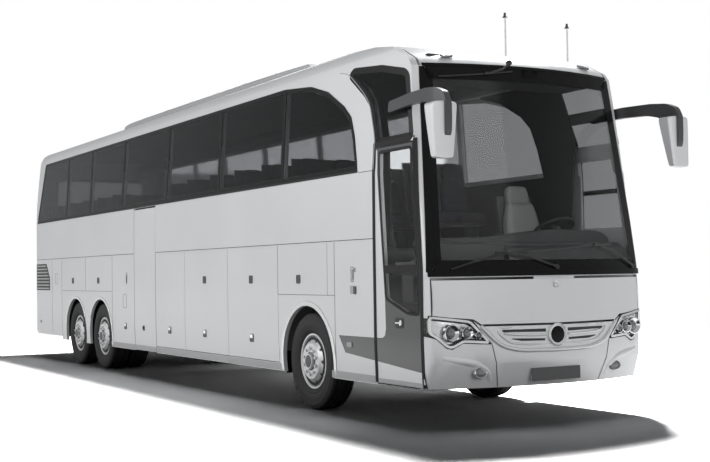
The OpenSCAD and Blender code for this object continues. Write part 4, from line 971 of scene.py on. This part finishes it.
for side, word in sides:
    low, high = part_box(f"mirror_{word}")
    root_x, tip_x, foot_z = low[0], high[0], low[2]
    top_z = foot_z + shell_tall
    mid_y = side * (max(abs(low[1]), abs(high[1])) - 0.15)
    shell = block((0.175, 0.262, shell_tall), (tip_x - 0.085, mid_y, (foot_z + top_z) / 2),
                  f"mirror_shell_{word}")
    bpy.ops.object.mode_set(mode="EDIT")
    cut_across(2, [foot_z + shell_tall * share for share in (0.06, 0.5, 0.92)])
    cut_across(0, (tip_x - 0.155, tip_x - 0.035))
    bpy.ops.object.mode_set(mode="OBJECT")
    for vert in shell.data.vertices:
        share = (vert.co.z - foot_z) / shell_tall
        narrow = 0.74 + 0.26 * min(1, share * 1.2)
        vert.co.y = mid_y + side * 0.022 * (1 - share) + (vert.co.y - mid_y) * narrow
        vert.co.x = tip_x + (vert.co.x - tip_x) * (0.48 + 0.52 * min(1, share * 1.15))
    soft = shell.modifiers.new("soft", "SUBSURF")
    soft.levels = soft.render_levels = 3
    settle(shell)
    joins(shell, silver)
    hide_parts(f"mirror_{word}")
    glass_line = rounded([Vector((0, mid_y + side * dy, z)) for dy, z in (
        (-0.090, top_z - 0.055), (0.090, top_z - 0.055), (0.085, foot_z + 0.075), (-0.055, foot_z + 0.075))], 0.05)
    for point in glass_line:
        share = (point.z - foot_z) / shell_tall
        point.x = tip_x + 0.004 - 0.178 * (0.48 + 0.52 * min(1, share * 1.15))
    pane = bar_of(glass_line, (-0.012, 0, 0), f"mirror_pane_{word}")
    roll_edges(pane, 0.003)
    settle(pane)
    joins(pane, mirror_glass)
    # the blade: its side outline is drawn, given a width, and led outward along its length
    stretch = tip_x + 0.030 - root_x - 1.178
    blade = [Vector((root_x + x + stretch * min(1, max(0, (x - 0.3) / 0.5)), 0, z)) for x, z in arm_outline]
    arm = face_of(rounded(blade, 0.03, steps=3), f"mirror_arm_{word}")
    edit_all()
    bpy.ops.mesh.extrude_region_move(TRANSFORM_OT_translate={"value": (0, 0.062, 0)})
    cut_across(0, [root_x + 0.1 * number for number in range(1, 12)])
    close_form()
    root_y = abs(meet((root_x + 0.05, 2 * side, 3.02), into[side]).y) - 0.005
    for vert in arm.data.vertices:
        share = min(1, (vert.co.x - root_x) / 0.95)
        led = root_y + (abs(mid_y) - 0.04 - root_y) * (share ** 1.3)
        vert.co.y = side * (led + vert.co.y * (0.7 + 0.3 * share))
    edit_all()
    close_form()
    roll_edges(arm, 0.014, 3, 40)
    settle(arm)
    joins(arm, arm_grey)


# Wipers: cranked black arms swing from spindles at the foot of the screen, and one small arm
# hangs from the roof edge. Each carries a long thin blade.
wiper_black = coating("wiper_black", (0.010, 0.010, 0.010), (0.02, 0.02, 0.02), 200, 0.4)


def on_screen(points, lift):
    return [meet((9, y, z), to_tail, lift) for y, z in points]


rods = []
wipers = (
    (((1.13, 1.50), (0.86, 1.63), (0.58, 1.715)),
     ((0.80, 1.712), (0.45, 1.700), (0.10, 1.675), (-0.30, 1.640))),
    (((0.02, 1.50), (-0.30, 1.60), (-0.58, 1.640)),
     ((-0.36, 1.655), (-0.62, 1.610), (-0.86, 1.552), (-1.06, 1.490))),
    (((-0.22, 3.475), (-0.33, 3.40), (-0.48, 3.355)),
     ((-0.22, 3.385), (-0.50, 3.350), (-0.80, 3.322), (-0.98, 3.310))))
for arm_line, blade_line in wipers:
    rods.append(moulding("wiper_arm", on_screen(arm_line, 0.030), 0.011))
    rods.append(moulding("wiper_blade", on_screen(blade_line, 0.018), 0.008))
    end_y, end_z = arm_line[-1]
    rods.append(moulding("wiper_joint", on_screen(((end_y, end_z), (end_y - 0.05, end_z - 0.004)), 0.026), 0.015))
    foot = on_screen((arm_line[0],), 0.012)[0]
    bpy.ops.mesh.primitive_cylinder_add(vertices=24, radius=0.026, depth=0.036, location=foot,
                                        rotation=(0, math.radians(81), 0))
    spindle = bpy.context.object
    roll_edges(spindle, 0.006)
    settle(spindle)
    rods.append(spindle)
wiper_set = one_piece("wiper_set", rods)
joins(wiper_set, wiper_black)
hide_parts("wipers")


# Roof: the air plant sits under a long shallow fairing in sections. Marker lamps stand on the front
# edge, aerials on rubber feet behind it, and a joint parts the front cap from the roof.
pod_grey = coating("pod_lacquer", (0.34, 0.345, 0.35), (0.42, 0.425, 0.43), 500, 0.4, 0.3, 0.03, 0.2)
made_for("roof_pod", "roof_fairing", 0.02, pod_grey)
pod_low, pod_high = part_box("roof_pod")
seams = []
for number in range(1, 7):
    x = pod_low[0] + (pod_high[0] - pod_low[0]) * number / 7
    seams.append(strip("seam", [(x, -0.995, 9), (x, 0.995, 9)], 0.008, downward, 0.001, steps=0.05))
cap_x = axle_x + 0.62
seams.append(strip("seam", [(cap_x, -1.02, 9), (cap_x, 1.02, 9)], 0.008, downward, 0.001, steps=0.05))
set_of("roof_seams", seams, sealant)
intakes = []
for number in (1, 3, 5):
    x = pod_low[0] + (pod_high[0] - pod_low[0]) * (number + 0.5) / 7
    for y in (-0.42, 0.42):
        for bar in range(6):
            bar_x = x - 0.24 + bar * 0.09
            intakes.append(strip("vane", [(bar_x, y - 0.26, 9), (bar_x, y + 0.26, 9)], 0.05, downward, 0.006,
                                 steps=0.2))
set_of("pod_vanes", intakes, trim_grey)
lamps = []
for y in (-0.83, 0.83):
    x = meet((9, y, 3.49), to_tail).x - 0.05
    corners = ((-0.03, -0.06), (0.03, -0.06), (0.03, 0.06), (-0.03, 0.06))
    line = rounded([(x + dx, y + dy, 9) for dx, dy in corners], 0.015)
    lamps.append(sheet("roof_marker", line, downward, 0.022, steps=0.04))
set_of("roof_markers", lamps, side_lamp_glass, edge=0.006)
aerials = []
roof_top_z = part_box("roof")[1][2]
for y, top in ((0.23, roof_top_z), (1.04, roof_top_z - 0.045)):
    x = nose_tip - 1.04
    foot = meet((x, y, 9), downward)
    aerials.append(moulding("rod", [foot, Vector((x, y, top - 0.002))], 0.0105))
    for radius, rise in ((0.030, 0.014), (0.018, 0.05)):
        bpy.ops.mesh.primitive_cone_add(vertices=24, radius1=radius, radius2=radius * 0.55, depth=rise,
                                        location=(x, y, foot.z + rise / 2))
        cone = bpy.context.object
        roll_edges(cone, 0.003)
        settle(cone)
        aerials.append(cone)
set_of("aerial_set", aerials, wiper_black)


# Tyres: low rolling-resistance coach tyres with four grooves round the tread, a scuff rib high on
# the wall and a rim guard low down. One is turned on its axis and copied to every wheel.
tyre_black = coating("tyre_black", (0.006, 0.006, 0.006), (0.015, 0.015, 0.015), 90, 0.75, 0, 0.5, 0.0, 5)
half_tyre = [(0.288, 0.098), (0.302, 0.106), (0.312, 0.119), (0.330, 0.132), (0.338, 0.134), (0.341, 0.1375),
             (0.348, 0.1375), (0.351, 0.135), (0.385, 0.1465), (0.405, 0.149), (0.430, 0.1478), (0.455, 0.1455),
             (0.463, 0.1475), (0.470, 0.1475), (0.474, 0.1435), (0.497, 0.136), (0.508, 0.129), (0.516, 0.118),
             (0.5205, 0.104), (0.5212, 0.090), (0.510, 0.087), (0.510, 0.076), (0.5215, 0.073), (0.522, 0.040),
             (0.510, 0.037), (0.510, 0.026), (0.522, 0.023)]
tyre_ring = half_tyre + [(r, -w) for r, w in reversed(half_tyre)]
bpy.ops.mesh.primitive_circle_add(vertices=len(tyre_ring))
pattern_tyre = bpy.context.object
for vert, (radius, aside) in zip(pattern_tyre.data.vertices, tyre_ring):
    vert.co = (radius, aside, 0)
edit_all()
bpy.ops.mesh.spin(steps=112, angle=math.tau, center=(0, 0, 0), axis=(0, 1, 0))
bpy.ops.mesh.select_all(action="SELECT")
bpy.ops.mesh.remove_doubles(threshold=0.0001)
close_form()
twin_gap = 0.326
wheel_bodies = [f"{place}_{side}" for place in ("front", "drive", "tag") for side in ("right", "left")]


def copy_at(pattern, name, place):
    """A copy with its own mesh, moved to its place."""
    alone(pattern)
    bpy.ops.object.duplicate()
    made = bpy.context.object
    made.name = name
    made.location = place
    bpy.ops.object.transform_apply()
    return made


def hub_of(node):
    """The middle, outward sense and outer face of a wheel piece."""
    low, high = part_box(node)
    outward = -1 if node.endswith("right") else 1
    return (low[0] + high[0]) / 2, (low[2] + high[2]) / 2, outward, low[1] if outward < 0 else high[1]


for wheel in wheel_bodies:
    middle_x, middle_z, outward, face_y = hub_of(f"tyre_{wheel}")
    outer_y = face_y - outward * 0.149
    places = [outer_y, outer_y - outward * twin_gap] if wheel.startswith("drive") else [outer_y]
    tyres = [copy_at(pattern_tyre, f"tyre_{wheel}_form", (middle_x, y, middle_z)) for y in places]
    tyre = one_piece(f"tyre_{wheel}_form", tyres)
    settle(tyre)
    joins(tyre, tyre_black, body_of(f"tyre_{wheel}"))
    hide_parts(f"tyre_{wheel}")
bpy.data.objects.remove(pattern_tyre)

# Rims: polished steel discs with ten hand holes and ten nuts round a closed hub. A dark cap and
# collar cover the hub. A flat dark ring behind the holes is painted shade, so the holes show dark.
rim_steel = coating("rim_steel", (0.56, 0.565, 0.575), (0.70, 0.705, 0.71), 70, 0.40, 0.35, 0.05)
hub_dark = coating("hub_dark", (0.05, 0.05, 0.052), (0.10, 0.10, 0.104), 90, 0.4, 0.5, 0.1)
for wheel in wheel_bodies:
    body = body_of(f"rim_{wheel}")
    made_for(f"rim_{wheel}", f"rim_{wheel}_disc", 0.0025, rim_steel)
    middle_x, middle_z, outward, face_y = hub_of(f"rim_{wheel}")
    bpy.ops.mesh.primitive_cylinder_add(vertices=40, radius=0.068, depth=0.008,
                                        location=(middle_x, face_y, middle_z), rotation=(math.pi / 2, 0, 0))
    cap = bpy.context.object
    bpy.ops.object.transform_apply()
    press_in(cap, (0, outward, 0), (0.016, 0.003), (0.014, -0.004))
    cap.name = f"hub_cap_{wheel}"
    roll_edges(cap, 0.0015)
    settle(cap)
    joins(cap, hub_dark, body)
    # painted shade: a flat dark ring behind the hand holes darkens what shows through them
    bpy.ops.mesh.primitive_torus_add(location=(middle_x, face_y - outward * 0.068, middle_z),
                                     rotation=(math.pi / 2, 0, 0), major_radius=0.232, minor_radius=0.030,
                                     major_segments=96, minor_segments=8)
    hole_shade = bpy.context.object
    for vert in hole_shade.data.vertices:
        vert.co.z *= 0.1
    bpy.ops.object.transform_apply()
    hole_shade.name = f"painted_hole_shade_{wheel}"
    settle(hole_shade)
    joins(hole_shade, tyre_black, body)
    turns = [math.tau * k / 48 for k in range(48)]
    ring = [(middle_x + 0.093 * math.cos(turn), face_y - outward * 0.029, middle_z + 0.093 * math.sin(turn))
            for turn in turns]
    joins(moulding(f"hub_collar_{wheel}", ring, 0.007, closed=True), hub_dark, body)


# Tail: tall lamp columns in red, amber and white lenses, an engine lid with louvres, a pull and a
# blank plate, reflectors in the bumper corners, and small red lamps under the roof edge.
red_glass = coating("red_glass", (0.28, 0.008, 0.008), (0.42, 0.015, 0.012), 120, 0.14, 0, 0.25, 0.5)
amber_glass = coating("amber_glass", (0.60, 0.20, 0.015), (0.75, 0.28, 0.03), 120, 0.14, 0, 0.25, 0.5)
white_glass = coating("white_glass", (0.55, 0.56, 0.57), (0.72, 0.73, 0.74), 120, 0.12, 0.2, 0.25, 0.5)
made_for("tail_lamps", "tail_lamp_bodies", 0.006, trim_grey)
lamp_in, lamp_out = 0.995, 1.205
lens_groups = {"red": (red_glass, []), "amber": (amber_glass, []), "white": (white_glass, [])}
for side in (-1, 1):
    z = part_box("tail_lamps")[0][2] + 0.02
    for tone, tall in (("red", 0.145), ("white", 0.10), ("amber", 0.14), ("red", 0.205)):
        line = box_on_end(-9, lamp_in + 0.012, lamp_out - 0.01, z, z + tall - 0.012, 0.02, side)
        lens_groups[tone][1].append(sheet("lens", line, to_nose, 0.010, steps=0.05))
        line = box_on_end(-9, lamp_in + 0.04, lamp_out - 0.04, z + 0.028, z + tall - 0.04, 0.03, side)
        lens_groups[tone][1].append(strip("lens_rim", line, 0.008, to_nose, 0.014, closed=True, steps=0.04))
        z += tall
for tone, (finish, parts) in lens_groups.items():
    set_of(f"tail_lens_{tone}", parts, finish)
lid_low, lid_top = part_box("engine_lid")[0][2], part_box("engine_lid")[1][2]
slats = []
for number in range(9):
    z = lid_top - 0.24 - number * 0.055
    slats.append(strip("slat", on_end(-9, ((-0.72, z), (0.72, z))), 0.030, to_nose, 0.010, steps=0.12))
set_of("lid_louvres", slats, sill_grey, "engine_lid", 0.004)
back_low, back_top = lid_top - 0.72, lid_top - 0.20
back_line = on_end(-9, ((-0.75, back_low), (0.75, back_low), (0.75, back_top), (-0.75, back_top)))
joins(sheet("lid_back", back_line, to_nose, 0.0015), sealant, "engine_lid")
pull_line = box_on_end(-9, -0.10, 0.10, lid_low + 0.06, lid_low + 0.105, 0.015)
joins(sheet("lid_pull", pull_line, to_nose, 0.012, steps=0.05), trim_grey, "engine_lid")
rear_plate_line = box_on_end(-9, -0.26, 0.26, lid_low + 0.17, lid_low + 0.285, 0.012)
joins(sheet("rear_plate", rear_plate_line, to_nose, 0.006, steps=0.08), plate_grey, "engine_lid")
parts = [sheet("reflector", box_on_end(-9, 0.86, 1.06, 0.50, 0.545, 0.012, side), to_nose, 0.008, steps=0.05)
         for side in (-1, 1)]
set_of("rear_reflectors", parts, red_glass)
parts = [sheet("top_lamp", box_on_end(-9, y - 0.06, y + 0.06, 3.535, 3.57, 0.01), to_nose, 0.010, steps=0.04)
         for y in (-0.9, -0.12, 0.12, 0.9)]
set_of("rear_high_lamps", parts, red_glass)


# Underframe and floors: welded steel in dark chassis paint, laminate luggage bays and vinyl floors
# keep their made form and take their own finishes. Black rubber flaps behind the front wheels are
# painted shade: they darken the gap under the body there.
frame_black = coating("chassis_paint", (0.022, 0.023, 0.024), (0.045, 0.046, 0.048), 26, 0.55, 0.1, 0.3, 0.0, 3)
bay_laminate = coating("bay_laminate", (0.26, 0.26, 0.262), (0.34, 0.34, 0.342), 180, 0.5, 0.1, 0.15)
floor_vinyl = coating("floor_vinyl", (0.07, 0.072, 0.076), (0.12, 0.122, 0.128), 320, 0.6, 0, 0.35)
cast_metal = coating("cast_metal", (0.12, 0.12, 0.12), (0.24, 0.24, 0.24), 34, 0.5, 0.7, 0.4, 0.0, 4)
own_finish = {"front_subframe": frame_black, "rear_subframe": frame_black, "wheel_houses": frame_black,
              "luggage_floor": bay_laminate, "bulkheads": bay_laminate, "cabin_floor": floor_vinyl,
              "driver_platform": floor_vinyl, "steps": floor_vinyl, "engine": cast_metal, "front_axle": frame_black,
              "drive_axle": frame_black, "tag_axle": frame_black, "knuckle_left": cast_metal,
              "knuckle_right": cast_metal, "front_door_arms": frame_black, "mid_door_arms": frame_black}
for node, finish in own_finish.items():
    kept = frame["nodes"][node]
    kept.data.materials.clear()
    kept.data.materials.append(finish)
# painted shade: dark flaps behind the front wheels fill the gap under the body with dark
flaps = [block((0.008, 0.36, 0.25), (axle_x - 0.675, side * 1.02, 0.475)) for side in (-1, 1)]
set_of("painted_shade_flaps", flaps, rubber, edge=0.002)


# Cabin lining: dark woven panels line the walls under the glass and the hoops in front of the last
# window, under a moulded ceiling with a luggage rack along each side.
lining_grey = coating("lining_grey", (0.014, 0.0145, 0.0155), (0.026, 0.027, 0.0285), 700, 0.8, 0, 0.4)
rack_grey = coating("rack_grey", (0.024, 0.025, 0.026), (0.042, 0.043, 0.045), 200, 0.5, 0, 0.1)


def long_form(name, outline, x0, x1, finish, edge=0.01):
    """A moulding of one section, drawn across the coach and drawn out along it."""
    form = bar_of([(x0, y, z) for y, z in outline], (x1 - x0, 0, 0), name)
    if edge:
        roll_edges(form, edge)
    settle(form)
    joins(form, finish)


ceiling_z = 3.665
lining_back, lining_front = tail_end + 0.32, nose_tip - 1.25
long_form("ceiling", [(-1.05, ceiling_z - 0.03), (1.05, ceiling_z - 0.03), (0.95, ceiling_z + 0.02),
                      (-0.95, ceiling_z + 0.02)], lining_back, nose_tip - 1.05, lining_grey)
for side, word in sides:
    section = [(1.10, 3.63), (0.70, 3.63), (0.66, 3.58), (0.68, 3.50), (0.76, 3.46), (1.00, 3.50), (1.085, 3.56)]
    long_form(f"rack_{word}", [(y * side, z) for y, z in section], lining_back + 0.1, lining_front - 0.4, rack_grey)
    lengths = [(lining_back, lining_front + 0.1)]
    if side < 0:
        lengths = [(lining_back, mid_rear - 0.02), (mid_front + 0.02, lining_front + 0.1)]
    section = [(1.105, 1.72), (1.125, 1.72), (1.112, 2.485), (1.092, 2.485)]
    for part, (x0, x1) in enumerate(lengths):
        long_form(f"wall_lining_{word}_{part}", [(y * side, z) for y, z in section], x0, x1, lining_grey, 0.004)
    wide = 0.22 if side > 0 else 0
    hoop_in = [(1.135, 1.72), (1.135, 2.49), (1.04, 2.84), (0.95, 3.04), (0.79, 3.19), (0.43, 3.38), (0.04, 3.49),
               (0.04, 3.58), (0.90, 3.58), (1.24 + wide, 3.50 if wide else 3.30), (1.37 + wide, 3.16),
               (1.48 + wide, 2.80), (1.48 + wide * 0.3, 1.72)]
    hoop_lining = bar_of([(axle_x + x, side * (1.108 - max(0, z - 2.5) * 0.055), z) for x, z in hoop_in],
                         (0, -0.02 * side, 0), f"hoop_lining_{word}")
    settle(hoop_lining)
    joins(hoop_lining, lining_grey)
long_form("screen_header", [(-0.98, 3.33), (0.98, 3.33), (1.0, 3.56), (-1.0, 3.56)], nose_tip - 1.05,
          nose_tip - 0.62, lining_grey, 0.03)
long_form("rear_shelf", [(-1.08, 1.72), (1.08, 1.72), (1.06, 2.44), (-1.06, 2.44)], tail_end + 0.20,
          tail_end + 0.26, lining_grey)
long_form("cabin_stair_wall", [(-0.30, 1.16), (-0.27, 1.16), (-0.27, 2.06), (-0.30, 2.06)], axle_x + 0.68,
          axle_x + 1.10, rack_grey)

# Dashboard: a soft moulded top stands over the cowl with its highest part before the wheel, above a
# plain front, and the steering wheel has a dark soft rim.
dash_skin = coating("dash_skin", (0.013, 0.0135, 0.0145), (0.024, 0.025, 0.0265), 900, 0.55, 0, 0.5)
made_for("dashboard", "dashboard_skin", 0.02, dash_skin)
made_for("steering_wheel", "steering_grip", 0.004, dash_skin)
dash_top = [(-1.06, 1.70), (1.09, 1.70), (1.09, 1.80), (0.95, 1.865), (0.40, 1.875), (0.05, 1.84),
            (-0.25, 1.80), (-1.0, 1.785), (-1.06, 1.76)]
long_form("dash_pad", [(p.x, p.y) for p in rounded([Vector((y, z, 0)) for y, z in dash_top], 0.07)],
          nose_tip - 0.86, nose_tip - 0.50, dash_skin, 0.03)
long_form("dash_front", [(-1.1, 1.55), (1.1, 1.55), (1.1, 1.74), (-1.1, 1.74)], nose_tip - 0.52,
          nose_tip - 0.40, dash_skin, 0.03)
long_form("blind_rail", [(1.085, 3.00), (1.12, 3.00), (1.105, 3.12), (1.07, 3.12)], axle_x + 1.48,
          nose_tip - 0.52, lining_grey)


# Seats: each place has a pad, a winged back and a headrest of foam under woven cloth, on a moulded
# shell. One set is inflated in its cover, and every seat is a copy of it.
weave_blue = coating("weave_blue", (0.02, 0.022, 0.028), (0.045, 0.049, 0.062), 260, 0.9, 0, 0.6, 0.0, 9)
weave_grey = coating("weave_grey", (0.17, 0.17, 0.17), (0.24, 0.24, 0.24), 260, 0.9, 0, 0.6, 0.0, 9)
weave_dark = coating("weave_dark", (0.03, 0.03, 0.032), (0.06, 0.06, 0.063), 260, 0.9, 0, 0.6, 0.0, 9)


def foam(name, size, place, lean=0.0, crown=0.0):
    """One cushion: a rounded block, blown up a little inside its cover and let go."""
    pad = block(size, (0, 0, 0), name)
    roll_edges(pad, min(size) * 0.36, 3)
    bpy.ops.object.modifier_apply(modifier="rolled_edge")
    cover = pad.modifiers.new("cover", "REMESH")
    cover.mode = "VOXEL"
    cover.voxel_size = 0.014
    bpy.ops.object.modifier_apply(modifier="cover")
    for vert in pad.data.vertices:
        vert.co.y *= 1 - crown * max(0, vert.co.z / size[2] + 0.1) ** 2 / 0.36
    before = [vert.co.copy() for vert in pad.data.vertices]
    cloth = pad.modifiers.new("cloth", "CLOTH")
    cloth.settings.use_pressure = True
    cloth.settings.uniform_pressure_force = 4
    cloth.settings.effector_weights.gravity = 0
    for number in range(1, 21):
        bpy.context.scene.frame_set(number)
    bpy.ops.object.modifier_apply(modifier="cloth")
    bpy.context.scene.frame_set(1)
    for vert, start in zip(pad.data.vertices, before):
        moved = vert.co - start
        if moved.length > 0.014:
            vert.co = start + moved.normalized() * 0.014
    thin = pad.modifiers.new("thin", "DECIMATE")
    thin.ratio = 0.22
    bpy.ops.object.modifier_apply(modifier="thin")
    pad.rotation_euler = (0, lean, 0)
    pad.location = place
    bpy.ops.object.transform_apply()
    return pad


def seat_pads(wide):
    return [foam("bolster_a", (0.40, 0.07, 0.09), (0.27, wide * 0.46, 0.42)),
            foam("bolster_b", (0.40, 0.07, 0.09), (0.27, -wide * 0.46, 0.42)),
            foam("pad", (0.44, wide, 0.11), (0.28, 0, 0.385)),
            foam("back", (0.09, wide, 0.52), (0.045, 0, 0.66), -0.17, 0.34),
            foam("wing", (0.07, wide * 0.9, 0.10), (0.105, 0, 0.52), -0.17),
            foam("headrest", (0.085, wide * 0.62, 0.20), (-0.035, 0, 0.975), -0.17, 0.26)]


pattern_seat = one_piece("pattern_seat", seat_pads(0.405))
shell_line = [(0.10, 0.30), (0.50, 0.31), (0.50, 0.335), (0.10, 0.335), (0.02, 0.52), (-0.075, 1.07),
              (-0.105, 1.07), (-0.03, 0.50), (0.05, 0.30)]


def seat_shell(x, y0, y1, z):
    return bar_of([(x + dx, y0, z + dz) for dx, dz in shell_line], (0, y1 - y0, 0))


cabin_floor_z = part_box("passenger_seats")[0][2]
pads, shells = [], []
for row in range(14):
    x = tail_end + 0.48 + row * 0.8
    for side in (-1, 1):
        if side < 0 and x + 0.56 >= mid_rear and x - 0.15 <= mid_front:
            continue
        for y in (0.515, 0.945):
            pads.append(copy_at(pattern_seat, "seat", (x, y * side, cabin_floor_z)))
        y0, y1 = sorted((0.30 * side, 1.16 * side))
        shells.append(seat_shell(x, y0, y1, cabin_floor_z))
        for y in (0.36, 1.06):
            shells.append(block((0.26, 0.035, 0.31), (x + 0.24, y * side, cabin_floor_z + 0.155)))
coach_pads = one_piece("passenger_pads", pads)
settle(coach_pads)
joins(coach_pads, weave_blue)
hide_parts("passenger_seats")
set_of("passenger_shells", shells, rack_grey, edge=0.006, steps=1)

platform_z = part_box("crew_seats")[0][2]
for name, x, y, tall, finish in (("driver", nose_tip - 1.50, 0.70, 1.0, weave_grey),
                                 ("courier", nose_tip - 1.91, -0.895, 0.95, weave_dark)):
    crew = copy_at(pattern_seat, f"{name}_pads", (0, 0, 0))
    for vert in crew.data.vertices:
        vert.co = Vector((vert.co.x * 1.05 + x, vert.co.y * 1.2 + y, vert.co.z * 1.04 * tall + platform_z + 0.11))
    settle(crew)
    joins(crew, finish)
    if name == "driver":
        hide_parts("crew_seats")
    shell = seat_shell(x, y - 0.235, y + 0.235, platform_z + 0.05)
    bpy.ops.mesh.primitive_cylinder_add(vertices=32, radius=0.17, depth=0.34,
                                        location=(x + 0.27, y, platform_z + 0.17))
    foot = bpy.context.object
    bpy.ops.object.transform_apply()
    set_of(f"{name}_shell", [shell, foot], rack_grey, edge=0.008)
bpy.data.objects.remove(pattern_seat)


low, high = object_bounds()
